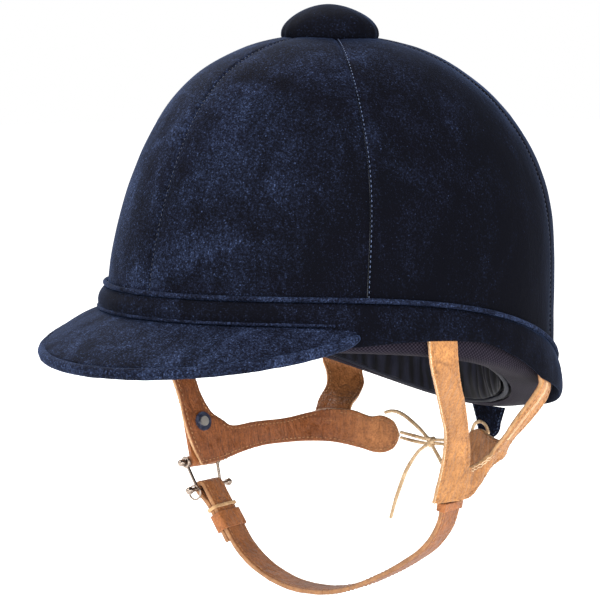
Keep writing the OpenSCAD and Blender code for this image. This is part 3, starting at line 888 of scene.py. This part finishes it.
def make_button(cloth):
    a = np.radians(np.linspace(0, 90, 34))
    r = np.concatenate([[BUTTON_R - 2.4, BUTTON_R - 0.9], BUTTON_R * np.cos(a) ** 1.15])
    z = np.concatenate([[-4.6, -3.0], BUTTON_H * np.sin(a)])
    z[2] = -1.0
    around = np.radians(np.arange(0, 360, 3.0))
    rr, aa = np.meshgrid(r, around, indexing="ij")
    zz = np.broadcast_to(z[:, None], rr.shape)
    pts = np.stack([rr * np.cos(aa), rr * np.sin(aa), zz], -1)
    gathers = np.sin(17 * aa + 1.3 * np.sin(3 * aa)) * np.exp(-np.maximum(zz, 0) / 4.5)
    soft = 0.28 * gathers + 0.45 * ripple(pts, 17, 31) * np.clip(zz / 6, 0, 1)
    pts = pts + unit(pts + np.array([0, 0, 8])) * np.clip(soft, -0.5, 0.5)[..., None]
    middle = pts[-1].mean(0)
    pts[-1] = middle + (pts[-1] - middle) * 0.2
    shape = pts + np.array([0, lean(CROWN_H), CROWN_H]), capped(*rr.shape)
    button = make("crown_button_cover", shape, cloth, "helmet", "velvet", "button_velvet")


def make_rim_tape(weave):
    t = np.arange(0, 360, 1.25)
    z = rim_z(t)
    top = np.maximum(band_low(t) + 0.8, z + 7.5)
    rows = [
        (top, 0.2), (z + 6, 0.2), (z + 2.2, 1.6), (z + 0.3, 5), (z - 0.1, 9),
        (z + 0.2, 15), (z + 1.2, 20), (z + 2.6, 22.8), (z + 3.5, 22.3), (z + 2.2, 19.7),
        (z + 1.2, 15), (z + 0.9, 9), (z + 1.3, 5.3), (z + 2.9, 2.5), (z + 6.3, 1.1),
        (top, 1.1),
    ]
    section = np.array([wall(t, h, d) for h, d in rows])
    outer = np.array([smooth(section[:8, i], 5) for i in range(len(t))])
    soft = 0.14 * ripple(outer, (9, 9, 9), 41) + 0.10 * ripple(outer, 4, 42)
    outer = outer + outward(t)[:, None] * np.clip(soft, -0.25, 0.12)[..., None]
    cols = np.concatenate([outer, section[8:].swapaxes(0, 1)], axis=1)
    run = np.array([run_of(c) for c in cols])
    around = np.radians(t) * (HALF_L + HALF_W) / 2
    uv = np.stack([np.broadcast_to(around[:, None], run.shape), run], -1)
    shape = cols, grid_faces(len(t), cols.shape[1], True, True)
    make("rim_tape_weave", shape, weave, "helmet", "tape", "rim_tape", uvs=uv)


# ---------- lining ----------


def lining_grid(cols, rows):
    t = np.arange(cols) * 360.0 / cols
    z = crown_rows(rim_z(t) + 5.2, rows, 27.2, 74)
    p = wall(np.broadcast_to(t, z.shape), z, 27.0)
    return p, grid_normals(p, True)


def around_and_up(p):
    """Angle and height share of each point of a grid that goes round."""
    rows, cols = p.shape[:2]
    a = np.linspace(0, 2 * np.pi, cols, endpoint=False)[None, :]
    return a, np.linspace(0, 1, rows)[:, None]


def rim_pleats(p):
    """Short tight pleats above the piping: how deep they stand, and how far into a fold, for
    painted shade.
    """
    a, up = around_and_up(p)
    wander = 1.4 * np.sin(5 * a + 3 * up) + 0.9 * np.sin(11 * a - 4 * up)
    ridge = np.abs(np.sin(38 * a + wander)) ** 0.8
    size = 0.55 + 0.45 * np.sin(7 * a + 1.3) * np.sin(3 * a)
    fade = np.exp(-up / 0.30) * (1 - np.exp(-up / 0.02))
    return 2.2 * ridge * size * fade, (1 - ridge) * (0.35 + 0.65 * np.exp(-up / 0.45))


def simulate_gathers(p, n, rows, cols):
    """Cloth cut a tenth too large and held at rim and drawcord, so that it gathers."""
    rng = np.random.default_rng(7)
    start = p - n * (0.8 + 0.7 * rng.random(p.shape[:2]))[..., None]
    mesh = bpy.data.meshes.new("gather_work")
    faces = grid_faces(rows, cols, False, True)
    mesh.from_pydata((start.reshape(-1, 3) * MM).tolist(), [], faces)
    obj = bpy.data.objects.new("gather_work", mesh)
    scene = bpy.context.scene
    scene.collection.objects.link(obj)
    held = obj.vertex_groups.new(name="held")
    held.add([*range(cols), *range((rows - 1) * cols, rows * cols)], 1.0, "REPLACE")
    cloth = obj.modifiers.new("cloth", "CLOTH")
    cloth.settings.vertex_group_mass = "held"
    cloth.settings.quality = 6
    cloth.settings.mass = 0.2
    cloth.settings.bending_stiffness = 0.4
    cloth.settings.shrink_min = cloth.settings.shrink_max = -0.14
    cloth.settings.effector_weights.gravity = 0
    cloth.collision_settings.use_collision = False
    last = 24
    cloth.point_cache.frame_start, cloth.point_cache.frame_end = 1, last
    for i in range(1, last + 1):
        scene.frame_set(i)
    seen = obj.evaluated_get(bpy.context.evaluated_depsgraph_get()).to_mesh()
    moved = vectors(seen.vertices, "co").reshape(p.shape) / MM - p
    scene.frame_set(1)
    bpy.data.objects.remove(obj)
    depth = -(moved * n).sum(-1, keepdims=True)
    slide = moved + n * depth
    reach = np.linalg.norm(slide, axis=-1, keepdims=True)
    slide = slide * np.minimum(1, 2.5 / np.maximum(reach, 1e-6))
    deep = 0.1 + 6.0 * (1 - np.exp(-np.abs(depth) / 6.0))
    return p + slide - n * deep


def make_lining(cloth, piping_cloth, cord_cloth):
    cols, rows = 360, 44
    p, n = lining_grid(cols, rows)
    outer = simulate_gathers(p, n, rows, cols)
    pleats, fold = rim_pleats(p)
    outer = outer - n * pleats[..., None]
    shape = sheet_solid(outer, outer - grid_normals(outer, True) * 0.7, True)
    lining = make(
        "gathered_satin_lining", shape, cloth, "helmet", "lining", "gathered_lining"
    )
    # Painted shade: the satin darkens where fold is high, in the pleats' folds.
    paint(lining.data, fold=np.tile(fold.ravel(), 2))
    modifier = lining.modifiers.new("smooth", "SUBSURF")
    modifier.levels = modifier.render_levels = 1

    t = np.arange(0, 360, 1.5)
    line = wall(t, rim_z(t) + 4.6, 25.2)
    line = line + outward(t) * (0.25 * ripple(line, 8, 51))[:, None]
    shape = hoop(line, outward(t), 1.4)
    make("lining_edge_piping", shape, piping_cloth, "helmet", "lining", "lining_piping")
    top = wall(t, crown_z(74.0, 27.4), 28.0) - outward(t) * 1.6
    turn = np.linspace(0, 2 * np.pi, 12, endpoint=False) + np.radians(t)[:, None] * 90
    shape = hoop(top, outward(t), 1.1 * (1 + 0.12 * np.cos(3 * turn)))
    make("lining_draw_string", shape, cord_cloth, "helmet", "lining", "lining_drawcord")


def make_inner_pads(cloth):
    t = np.arange(0, 360, 2.0)
    o = rounded(3.7, 29.2, 1.7, 5)
    rings = np.array([wall(t, rim_z(t) + 21.25 + h, 24 + w) for w, h in o])
    soft = np.clip(0.3 * ripple(rings, 15, 61), -0.25, 0.15)
    rings = rings + outward(t)[None] * soft[..., None]
    shape = rings.swapaxes(0, 1), grid_faces(len(t), len(o), True, True)
    make("foam_headband", shape, cloth, "helmet", "padding", "headband")
    a = np.radians(np.arange(0, 360, 6.0))
    prof = [(19, 2.2), (18.6, 3.2), (17.4, 4.0), (14, 4.35), (8, 4.45), (1, 4.5),
            (1, 0.0), (12, 0.0), (17.5, 0.15), (18.7, 1.0)]
    quilt = 0.125 * np.cos(6 * a)
    rings = [
        np.stack([r * np.cos(a), r * np.sin(a), z - quilt * (z > 3)], -1) for r, z in prof
    ]
    verts = np.array(rings) + np.array([0, lean(CROWN_H), CROWN_H - 28.4])
    shape = verts, grid_faces(len(prof), len(a), True, True)
    make("crown_foam_pad", shape, cloth, "helmet", "padding", "crown_pad")


def make_nape_tab(cloth, stitch_cloth):
    y0, z0 = HALF_L - 8.0, float(rim_z(180.0)) - 0.9
    side = [(12.5 - 3.5 * s, -9.5 * s) for s in np.linspace(0.1, 1, 8)]
    tip = np.linspace(0, math.pi, 25)[1:-1]
    edge = [(12.5, 0.0), *side]
    edge += [(9 * math.cos(a), -9.5 - 9 * math.sin(a)) for a in tip]
    edge = np.array(edge + [(-x, z) for x, z in side[::-1]] + [(-12.5, 0.0)])
    middle = np.array([0, -8.0])
    profile = ((1.0, 0), (0.985, 0.55), (0.93, 0.8), (0.8, 0.62), (0.5, 0.72), (0.02, 0.75))
    rings = []
    for share, y in [(c, -y) for c, y in profile[:0:-1]] + list(profile):
        x, z = (middle + (edge - middle) * share).T
        rings.append(np.stack([x, y0 + y + 0 * x, z0 + z], -1))
    shape = np.concatenate(rings), capped(len(rings), len(edge))
    make("nape_tab_cloth", shape, cloth, "nape_flap", "velvet", "nape_tab")
    x, z = edge[:, 0] * 0.88, (middle + (edge - middle) * 0.88)[:, 1]
    line, _ = spaced(np.stack([x, 0 * x, z], -1), 2.4)
    rows = []
    for c, a in zip(line, unit(np.gradient(line, axis=0))):
        for out in (1.0, -1.0):
            at = np.array([c[0], y0 + 0.75 * out, z0 + c[2]])
            rows.append((at, a, np.array([0, out, 0])))
    shape = stitches(rows, 1.5, 0.4, 0.3)
    make("nape_tab_stitching", shape, stitch_cloth, "nape_flap", "velvet")


# ---------- leather harness ----------

LEFT_FRONT = (
    [[103.5, -34, -8], [104.3, -32.8, -22.5], [101.5, -26, -35.8], [96.5, -17.4, -48.7],
     [91.5, -9.5, -61], [85.4, -5.5, -78], [80.2, -6.3, -97.6]],
    [[106.9, -17.2, -12.1], [106.3, -15.8, -21.7], [101.5, -8.9, -34], [96.5, -0.4, -45.8],
     [91.5, 7, -60], [86, 14, -76], [80, 15, -98.4]],
)
LEFT_REAR = (
    [[97.5, 54.6, -40.3], [94.5, 49.8, -48.8], [90, 45, -57.7], [87.5, 40, -65.8],
     [85, 35.2, -72.2], [82.3, 30.5, -80]],
    [[91.7, 67.5, -44.6], [90.5, 65.5, -50.6], [86.5, 58.5, -60.5], [81.5, 52.2, -69.2],
     [79.7, 46, -76.4], [79.3, 38, -81.5]],
)
LEFT_JAW = (
    [[84.4, -2, -80], [84, 14, -80.6], [82.5, 22.2, -80.4], [83.3, 30.4, -76.8],
     [82.6, 39.6, -72.9], [78.5, 52, -70.8], [68, 64, -72.5], [56, 69, -75.5], [44, 73.5, -75],
     [34, 77.5, -73], [25, 80.2, -75.5], [20, 81.4, -79.5]],
    [[80.5, -5.3, -97.4], [79.8, 14, -98.2], [79.8, 22, -96.6], [80, 28.7, -90.6],
     [79.5, 35.1, -84.3], [77.4, 48, -80], [66, 57.8, -82.7], [55, 64.1, -87.7],
     [43, 70.6, -94.3], [33, 73.3, -96.6], [25, 73.8, -94.7], [20, 81.5, -85.5]],
)
RIGHT_FRONT = (
    [[-102, -40, -7.4], [-102.5, -38.5, -20], [-98.5, -36, -35], [-91.8, -33.9, -50],
     [-88.5, -32.3, -61], [-85.5, -32, -71], [-81.8, -29.5, -84], [-79, -25, -95]],
    [[-106, -20, -12.8], [-105.6, -19.5, -22], [-99.5, -18.5, -35], [-92, -18, -51],
     [-89, -16.5, -59], [-86, -12, -68], [-83, -2, -77], [-79, -6, -93.5]],
)
RIGHT_REAR = (
    [[-88, 73.9, -47], [-85, 74, -53], [-82, 71, -60], [-79, 62, -68], [-75.2, 55.2, -77]],
    [[-74.6, 92.7, -53.8], [-71.5, 91, -60], [-67, 83, -65.5], [-61, 71.5, -69.5],
     [-57.4, 65.5, -77]],
)
RIGHT_JAW = (
    [[-84.8, -27, -71.5], [-84.5, -12, -71], [-82.5, 0, -76], [-81, 16, -75.3], [-80.2, 37, -75.5],
     [-79, 52, -74], [-70, 60, -71.5], [-56, 66, -71], [-46, 71, -74], [-40, 74.6, -73.4],
     [-34, 77.8, -76.4], [-31.5, 79.4, -81.5]],
    [[-79, -24.5, -95.5], [-78.8, -10, -94], [-79, 5, -91], [-79, 20, -89.2], [-78.6, 37, -89.3],
     [-74, 51, -89.4], [-64, 60, -89.8], [-52, 67, -92], [-44, 72, -94.4], [-39, 75.2, -94.5],
     [-34, 78, -91.8], [-31.5, 79.5, -87]],
)
STUD_AT = np.array([-84.8, -20.5, -72.3])


def rooted(strap):
    """The strap with its end carried up into the pocket behind the band."""
    made = []
    for edge in strap:
        t, z = angle_of(edge[0]), edge[0][2]
        made.append([wall(t, z + 9.5, -1.35), wall(t, z + 4.5, -1.35), *edge])
    return tuple(made)


def tree_of(points):
    tree = kdtree.KDTree(len(points))
    for i, q in enumerate(points):
        tree.insert(q, i)
    tree.balance()
    return tree


class Strap:
    """Flat leather between two edges: stations, outward normals and a point cloud."""

    def __init__(self, edges, k=10):
        self.a, self.b = smooth(edges[0], k), smooth(edges[1], k)
        mid = (self.a + self.b) / 2
        along = unit(unit(np.gradient(self.a, axis=0)) + unit(np.gradient(self.b, axis=0)))
        n = unit(np.cross(self.b - self.a, along))
        flip = np.sign(n[:, 0] * mid[:, 0] + n[:, 1] * mid[:, 1])
        self.n = n * flip[:, None]
        self.width = np.linalg.norm(self.b - self.a, axis=1)
        across = np.linspace(0, 1, 13)
        self.cloud = self.a[:, None] + (self.b - self.a)[:, None] * across[None, :, None]
        edge = np.minimum(across, 1 - across)[None, :] * self.width[:, None]
        run = run_of(mid)
        self.margin = np.minimum(edge, np.minimum(run, run[-1] - run)[:, None])

    def solid(self, low, high):
        rings = [
            self.a + self.n * low, self.a + self.n * high,
            self.b + self.n * high, self.b + self.n * low,
        ]
        return np.stack(rings, 1).reshape(-1, 3), capped(len(self.a), 4)


def evaluated(obj):
    """The object's mesh with its modifiers applied, and the object removed."""
    graph = bpy.context.evaluated_depsgraph_get()
    mesh = bpy.data.meshes.new_from_object(obj.evaluated_get(graph))
    bpy.data.objects.remove(obj)
    return mesh


def vectors(items, name):
    made = np.zeros(len(items) * 3)
    items.foreach_get(name, made)
    return made.reshape(-1, 3)


def groove(points, line, wide, deep):
    """How far points are pushed in by a crease that follows a line."""
    tree = tree_of(spaced(smooth(line, 8), 0.5)[0])
    far = np.array([tree.find(p)[2] for p in points])
    return deep * np.exp(-((far / wide) ** 2))


def wrinkles(p, side):
    """Creases across the jaw piece, which fade on the straps."""
    jaw = np.exp(-(((p[:, 2] + 82) / 15) ** 2)) * np.clip((p[:, 1] + 5) / 25, 0, 1)
    fine = ripple(p, (4.2, 3.0, 17), 70 + side)
    creased = 0.20 - 0.75 * np.exp(-np.abs(fine) / 0.16)
    broad = 0.22 * ripple(p, (13, 11, 18), 74 + side)
    return jaw * creased + broad + 0.07 * ripple(p, 3.2, 77 + side)


def seam_rows(parts, holes):
    """Stitches on the middle surface, inside every free edge."""
    rows = []
    for i, s in enumerate(parts):
        others = parts[:i] + parts[i + 1 :]
        margins = np.concatenate([q.margin.ravel() for q in others])
        tree = tree_of(np.concatenate([q.cloud.reshape(-1, 3) for q in others]))
        for edge, to in ((s.a, s.b), (s.b, s.a)):
            line = edge + unit(to - edge) * SEAM_IN
            even, at = spaced(line, 2.7)
            n = unit(sampled(s.n, run_of(line), at))
            for c, a, o in zip(even, unit(np.gradient(even, axis=0)), n):
                _, hit, far = tree.find(c)
                covered = far < 2.2 and margins[hit] > 2.4
                tucked = c[2] > band_low(angle_of(c)) + 1
                if not covered and not tucked and all(
                    np.linalg.norm(c - h) >= r for h, r in holes
                ):
                    rows.append((c, a, o))
    return rows


def make_harness(side, straps, material, thread_material, creases, hinge, holes=(), raw=()):
    name = "left" if side > 0 else "right"
    parts = [Strap(rooted(s) if i < 2 else s) for i, s in enumerate(straps)]
    work = make("harness_work", joined([s.solid(-SUEDE_T, LEATHER_T) for s in parts]), material)
    remesh = work.modifiers.new("remesh", "REMESH")
    remesh.mode, remesh.voxel_size = "VOXEL", 0.62 * MM
    ease = work.modifiers.new("ease", "SMOOTH")
    ease.factor, ease.iterations = 0.5, 5
    mesh = evaluated(work)
    p = vectors(mesh.vertices, "co") / MM
    normals = vectors(mesh.vertices, "normal")

    cloud = np.concatenate([s.cloud.reshape(-1, 3) for s in parts])
    facing = np.concatenate([np.repeat(s.n, s.cloud.shape[1], axis=0) for s in parts])
    tree = tree_of(cloud)
    index = np.array([tree.find(q)[1] for q in p])
    out = facing[index]
    height = ((p - cloud[index]) * out).sum(-1)
    flat = np.clip(np.abs((normals * out).sum(-1)), 0, 1)
    rows = seam_rows(parts, holes)
    seams = tree_of([c for c, _, _ in rows])
    far = np.array([seams.find(q)[2] for q in p - out * height[:, None]])
    furrow = np.exp(-(far**2))
    press = np.zeros(len(p))
    for line, wide, deep in creases:
        press = np.maximum(press, groove(p, line, wide, deep))
    folds = wrinkles(p, side)
    push = np.clip((folds - press - 0.22 * furrow) * flat**2, -0.8, 0.3)
    p = p + normals * push[:, None] * np.where(height > 0, 1, 0.6)[:, None]
    mesh.vertices.foreach_set("co", (p * MM).ravel())
    # Painted shade in seam furrows, pressed creases and wrinkle hollows, passed to the leather as
    # 'dark'.
    shade = 0.42 * furrow + press + 0.85 * np.clip(-folds - 0.12, 0, 1)
    paler = 1 - 0.5 * np.clip((p[:, 1] - 58) / 14, 0, 1)
    paint(
        mesh,
        ply=np.clip(0.5 - height / 0.5, 0, 1) * paler,
        edge=0.75 * np.clip((0.72 - flat) / 0.5, 0, 1),
        dark=np.clip(shade, 0, 0.8) * flat,
    )
    nodes = f"{name}_harness_leather", f"{name}_harness_lining", "strap_anchors"
    pieces = [place(f"{name}_harness_sewn", mesh, material, None, "leather", *nodes)]

    both = [(c + o * (LEATHER_T - 0.10), a, o) for c, a, o in rows]
    both += [(c - o * (SUEDE_T - 0.10), a, -o) for c, a, o in rows]
    shape = stitches(both, 1.7, 0.72, 0.62)
    pieces.append(make(f"{name}_harness_stitching", shape, thread_material))
    if raw:
        shape = stitches([c for row in raw[1:] for c in row(parts)], 1.7, 0.6, 0.55)
        pieces.append(make(f"{name}_harness_raw_edge", shape, raw[0]))
    at, axis = hinge
    axis = unit(axis)
    for piece in pieces:
        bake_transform(piece)


def raw_row(line, out, gap=1.25, sway=0.28):
    """Irregular beads along a line, for a raw edge that two plies share."""
    even, at = spaced(line, gap)
    n = unit(sampled(out, run_of(line), at))
    along = unit(np.gradient(even, axis=0))
    swing = sway * np.sin(at * 1.9) + 0.6 * sway * np.sin(at * 0.83 + 1)
    return [
        (c + b * w, a + 0.35 * b * math.cos(1.9 * s), o)
        for c, a, o, b, w, s in zip(even, along, n, np.cross(along, n), swing, at)
        if c[2] < band_low(angle_of(c)) - 0.5
    ]


def front_raw_edge(parts):
    s = parts[0]
    return raw_row(s.a + s.n * (LEATHER_T * 0.7) + unit(s.b - s.a) * 0.15, s.n, 1.5, 0.08)


def notch_raw_edge(parts):
    """Along the V notch, then up the outer face of the rear strap, as two rows."""
    jaw, rear = parts[2], parts[1]
    made = []
    for inset in (0.4, 1.9):
        low = slice(14, 43)
        line = jaw.a[low] + unit(jaw.b - jaw.a)[low] * inset + jaw.n[low] * (LEATHER_T + 0.05)
        made += raw_row(line, jaw.n[low])
        last = len(rear.a) - 18
        share = np.linspace(0.52, 0.16, last)[:, None]
        width = rear.width[:last, None]
        line = rear.a[:last] + (rear.b - rear.a)[:last] * (share + inset / width)
        line = line + rear.n[:last] * (LEATHER_T + 0.05)
        made += raw_row(line, rear.n[:last])
    return made


def harness_hinge(name):
    joint = next(j for j in frame["joints"] if j["name"] == name)
    return np.array(joint["pos_m"], float), np.array(joint["axis"], float)


# ---------- chin strap and keepers ----------

BAIL_AT = np.array([-78.3, -20.4, -107.4])
STRAP_TURN = math.radians(12.1)
FALL, OUT, FOLD_R = np.array([0.556, -0.832]), np.array([-0.832, -0.556]), 2.8


def at_bail(p):
    """From the chin strap's frame, with +X across to the wearer's left, to the row's."""
    p = np.asarray(p, float)
    c, s = math.cos(STRAP_TURN), math.sin(STRAP_TURN)
    return BAIL_AT + np.stack(
        [p[..., 0] * c - p[..., 1] * s, p[..., 0] * s + p[..., 1] * c, p[..., 2]], -1
    )


def on_fall(s, k):
    return -FOLD_R * OUT + s * FALL + k * OUT


def chin_route():
    tail = [on_fall(s, k) for s, k in
            ((33, 2.7), (27, 2.7), (20, 2.7), (14, 2.7), (10, 2.9), (6, 3.8), (3, 4.9))]
    turn = [
        FOLD_R * np.array([math.cos(a), math.sin(a)])
        for a in (math.radians(213.7 - b) for b in range(0, 181, 30))
    ]
    under = [on_fall(s, 0) for s in (4, 12, 20, 27, 33)]
    rest = [[27, -33], [35.8, -39.4], [46.6, -44.6], [59.4, -47.9], [72, -48.6], [86, -47.2],
            [100, -43], [113, -37], [125, -30.6], [135.6, -23.8], [144.2, -17.2],
            [150.8, -9.2], [154.6, -1.4], [156.1, 6.4], [156.3, 16.4]]
    flat = np.array([*tail, *turn, *under, *rest], float)
    return smooth(np.stack([flat[:, 0], 0 * flat[:, 0], flat[:, 1]], -1), 2)


def make_chin_strap(material, thread_material, keeper_material, cord_material):
    path, _ = spaced(chin_route(), 1.3)
    side = np.array([0, 1.0, 0])
    up = np.cross(unit(np.gradient(path, axis=0)), side)
    o = rounded(CHIN_W, CHIN_T, 0.75, 3)
    rings = []
    for i, c in enumerate(path):
        wave = 0.16 * ripple(c + o[:, :1] * side, (7, 6, 7), 81)
        swell = 0.12 * (1 - (o[:, 0] / (CHIN_W / 2)) ** 4)
        high = o[:, 1] + np.sign(o[:, 1]) * (swell + np.clip(wave, -0.2, 0.1) * 0.8)
        rings.append(c + o[:, :1] * side + high[:, None] * up[i])
    m = len(rings)
    shape = at_bail(np.concatenate(rings)), capped(m, len(o))
    strap = make("chin_strap_sewn", shape, material, "chin", "leather", "chin_strap")
    paint(
        strap.data,
        ply=np.tile(o[:, 1] > 0, m) * 0.35,
        edge=np.tile(np.abs(o[:, 0]) > CHIN_W / 2 - 0.55, m) * 0.35,
    )

    rows = []
    even, _ = spaced(path, 2.7)
    along = unit(np.gradient(even, axis=0))
    for c, a, u in zip(even, along, np.cross(along, side)):
        for y in (-6.3, 6.3):
            for h in (1.0, -1.0):
                at = at_bail(c + side * y + u * h * (CHIN_T / 2 + 0.1))
                rows.append((at, at_bail(a) - BAIL_AT, at_bail(u * h) - BAIL_AT))
    shape = stitches(rows, 2.0, 0.6, 0.45)
    make("chin_strap_stitching", shape, thread_material, "chin", "leather")

    def loop(name, node, centre, tilt, long, deep, thick, body, mat):
        """Flat band round the strap, with its centre and tilt in the strap's plane."""
        a = math.radians(tilt)
        along_x = np.array([math.cos(a), 0, -math.sin(a)])
        up_z = np.array([math.sin(a), 0, math.cos(a)])
        centre = np.array([centre[0], 0, centre[1]])
        ring = rounded(CHIN_W + 0.8 + thick, deep + thick, min(1.6, deep / 2), 5)
        inside = unit(np.roll(ring, -1, 0) - np.roll(ring, 1, 0))
        section = rounded(long, thick, thick * 0.42, 4)
        rings = []
        for q, (nx, ny) in zip(ring, inside):
            for x, h in section:
                across, high = q + np.array([ny, -nx]) * h
                rings.append(centre + along_x * x + side * across + up_z * high)
        verts = at_bail(np.array(rings))
        wave = 0.12 * ripple(verts, 5, 91 + long)
        verts = verts + unit(verts - at_bail(centre)) * wave[:, None]
        shape = verts, grid_faces(len(ring), len(section), True, True)
        make(name, shape, mat, body, "leather", node)

    tilt = 56.25
    thin, wide = on_fall(13.5, 1.35), on_fall(21.8, 1.35)
    loop("cord_keeper_loop", "cord_keeper", thin, tilt, 1.9, 5.7, 1.0, "chin", cord_material)
    loop("wide_keeper_loop", "wide_keeper", wide, tilt, 10, 5.7, 1.1, "keeper", keeper_material)
    loop(
        "strap_end_band", "strap_end_loop", (156, 6), 100, 4.5, 3.4, 1.05, "chin",
        keeper_material,
    )


# ---------- build ----------


def dress_cad_nodes():
    chrome = metal("aged_plate", (0.36, 0.29, 0.24), 0.16, 0.34, 0.25)
    steel = metal("plain_steel", (0.55, 0.56, 0.58), 0.28, 0.5, 0.3)
    shell = hard_shell("moulded_shell", (0.012, 0.014, 0.018), (0.04, 0.045, 0.055), 500)
    foam = hard_shell("foam_beads", (0.035, 0.035, 0.04), (0.10, 0.10, 0.11), 260)
    board = hard_shell("stiff_board", (0.02, 0.02, 0.024), (0.05, 0.05, 0.055), 700)
    core = hard_shell("button_core", (0.10, 0.075, 0.05), (0.22, 0.17, 0.12), 180)
    nickel = metal("worn_nickel", (0.86, 0.82, 0.76), 0.30, 0.48, 0.2)
    stud = enamel("stud_enamel", (0.010, 0.014, 0.035), (0.07, 0.08, 0.13))
    billet = leather("billet_leather", (0.36, 0.135, 0.042), (0.30, 0.13, 0.05), False)
    looks = {
        "outer_shell": shell, "impact_liner": foam, "peak_board": board,
        "button_core": core, "button_stem": steel, "harness_rivets": steel,
        "stud_washer": stud, "stud_cap": stud, "stud_post": nickel,
        "upper_bar": chrome, "wire_bail": chrome, "bar_ring": chrome,
        "right_billet": billet,
    }
    for node, look in looks.items():
        mesh = frame["nodes"][node].data
        mesh.materials.clear()
        mesh.materials.append(look)


def build():
    back, right = make_camera()
    make_lace()
    make_stage(back, right)
    dress_cad_nodes()
    # Lighter and darker copies of one velvet, as painted light and shade: a painted sheen on the
    # welts and rolled edge, painted light on the peak, painted shade on the band and button.
    band_cloth = velvet("velvet_band_cloth", (1.3, 0.7, 0.2), -0.12)
    peak_cloth = velvet("velvet_peak_cloth", (2.1, 0.2, 0.9), 0.12)
    edge_cloth = velvet("velvet_welt_painted_sheen", (0.6, 1.9, 0.3), 0.20)
    button_cloth = velvet("velvet_button_cloth", (0.2, 0.4, 1.7), -0.19)
    make_crown()
    # The side seams' thread is a lighter copy of the seam thread: a painted highlight along the
    # side seams.
    light = thread("side_seam_highlight_thread", (0.012, 0.018, 0.040), (0.062, 0.092, 0.18), 1200)
    dark = thread("seam_thread", (0.006, 0.008, 0.016), (0.022, 0.030, 0.058), 1200)
    make_crown_stitching("side_seam_stitching", (60.0, -60.0), light)
    make_crown_stitching("other_seam_stitching", (0.0, 127.5, 180.0, -127.5), dark)
    make_band(band_cloth, edge_cloth)
    peak_under = woven("peak_under_cloth", (0.006, 0.0065, 0.012), (0.024, 0.025, 0.042), 1.1)
    make_peak(peak_cloth, edge_cloth, peak_under)
    make_button(button_cloth)
    make_rim_tape(woven("rim_tape_cloth", (0.0055, 0.0048, 0.0085), (0.045, 0.036, 0.054), 2.0))
    satin_cloth = satin("lining_satin", (0.0012, 0.0013, 0.0030), (0.0125, 0.0140, 0.0280))
    piping = satin("piping_satin", (0.0055, 0.0060, 0.0100), (0.0200, 0.0220, 0.0340))
    draw_string = thread("draw_string", (0.010, 0.011, 0.016), (0.05, 0.05, 0.07))
    make_lining(satin_cloth, piping, draw_string)
    make_inner_pads(woven_plain("pad_cloth"))
    navy_thread = thread("tab_thread", (0.02, 0.03, 0.06), (0.09, 0.13, 0.24), 1200)
    make_nape_tab(velvet("nape_tab_velvet", (0.1, 1.1, 0.4), 0.02), navy_thread)

    near = leather("left_leather", (0.43, 0.205, 0.066), (0.30, 0.118, 0.036))
    far = leather("right_leather", (0.50, 0.235, 0.086), (0.262, 0.088, 0.026))
    chin = leather("chin_leather", (0.29, 0.108, 0.031), (0.34, 0.132, 0.040))
    tan_thread = thread("tan_thread", (0.17, 0.066, 0.022), (0.46, 0.23, 0.095), 1100)
    pale_thread = thread("raw_edge_thread", (0.34, 0.19, 0.09), (0.80, 0.60, 0.38), 900)
    brown_thread = thread("brown_thread", (0.15, 0.050, 0.016), (0.50, 0.25, 0.105), 1100)
    left_creases = [
        ([[81, -1, -97.4], [82, 3, -91.5], [83.8, 9, -86], [85.4, 14.5, -80.5]], 0.9, 0.75),
        ([[84, 12, -82], [81.4, 20, -85], [80.4, 27, -84.5]], 0.9, 0.4),
        ([[81.5, 8, -96], [81, 14, -91], [80.6, 20, -88]], 0.8, 0.3),
        ([[106.2, -30, -20], [107.6, -22, -23], [108, -16, -27]], 1.0, 0.45),
        ([[105.8, -31, -24], [106, -24, -29], [105, -16, -33]], 1.0, 0.4),
    ]
    right_creases = [
        ([[-80.5, -27, -88], [-83.5, -28.5, -76], [-87, -29.5, -66]], 0.8, 0.35),
        ([[-81, -14, -92], [-84, -6, -84], [-84, -2, -78]], 0.9, 0.3),
    ]
    for y, lean_y in ((28, 3), (34, 5), (40, 5), (45, 7), (50, 8), (55, 9)):
        x = -80 + max(0, y - 48) * 0.9
        right_creases.append(
            ([[x, y, -75.5], [x, y + lean_y * 0.4, -80], [x + 1, y + lean_y, -85]], 0.7, 0.38)
        )
    make_harness(
        1, (LEFT_FRONT, LEFT_REAR, LEFT_JAW), near, tan_thread, left_creases,
        harness_hinge("left_harness_swing"), (),
        (pale_thread, front_raw_edge, notch_raw_edge),
    )
    make_harness(
        -1, (RIGHT_FRONT, RIGHT_REAR, RIGHT_JAW), far, brown_thread, right_creases,
        harness_hinge("right_harness_swing"), [(STUD_AT, 6.5)],
    )
    keeper = leather("keeper_leather", (0.36, 0.135, 0.040), (0.5, 0.24, 0.09), False)
    cord = thread("keeper_cord", (0.34, 0.17, 0.07), (0.70, 0.44, 0.22), 900)
    make_chin_strap(chin, brown_thread, keeper, cord)


build()
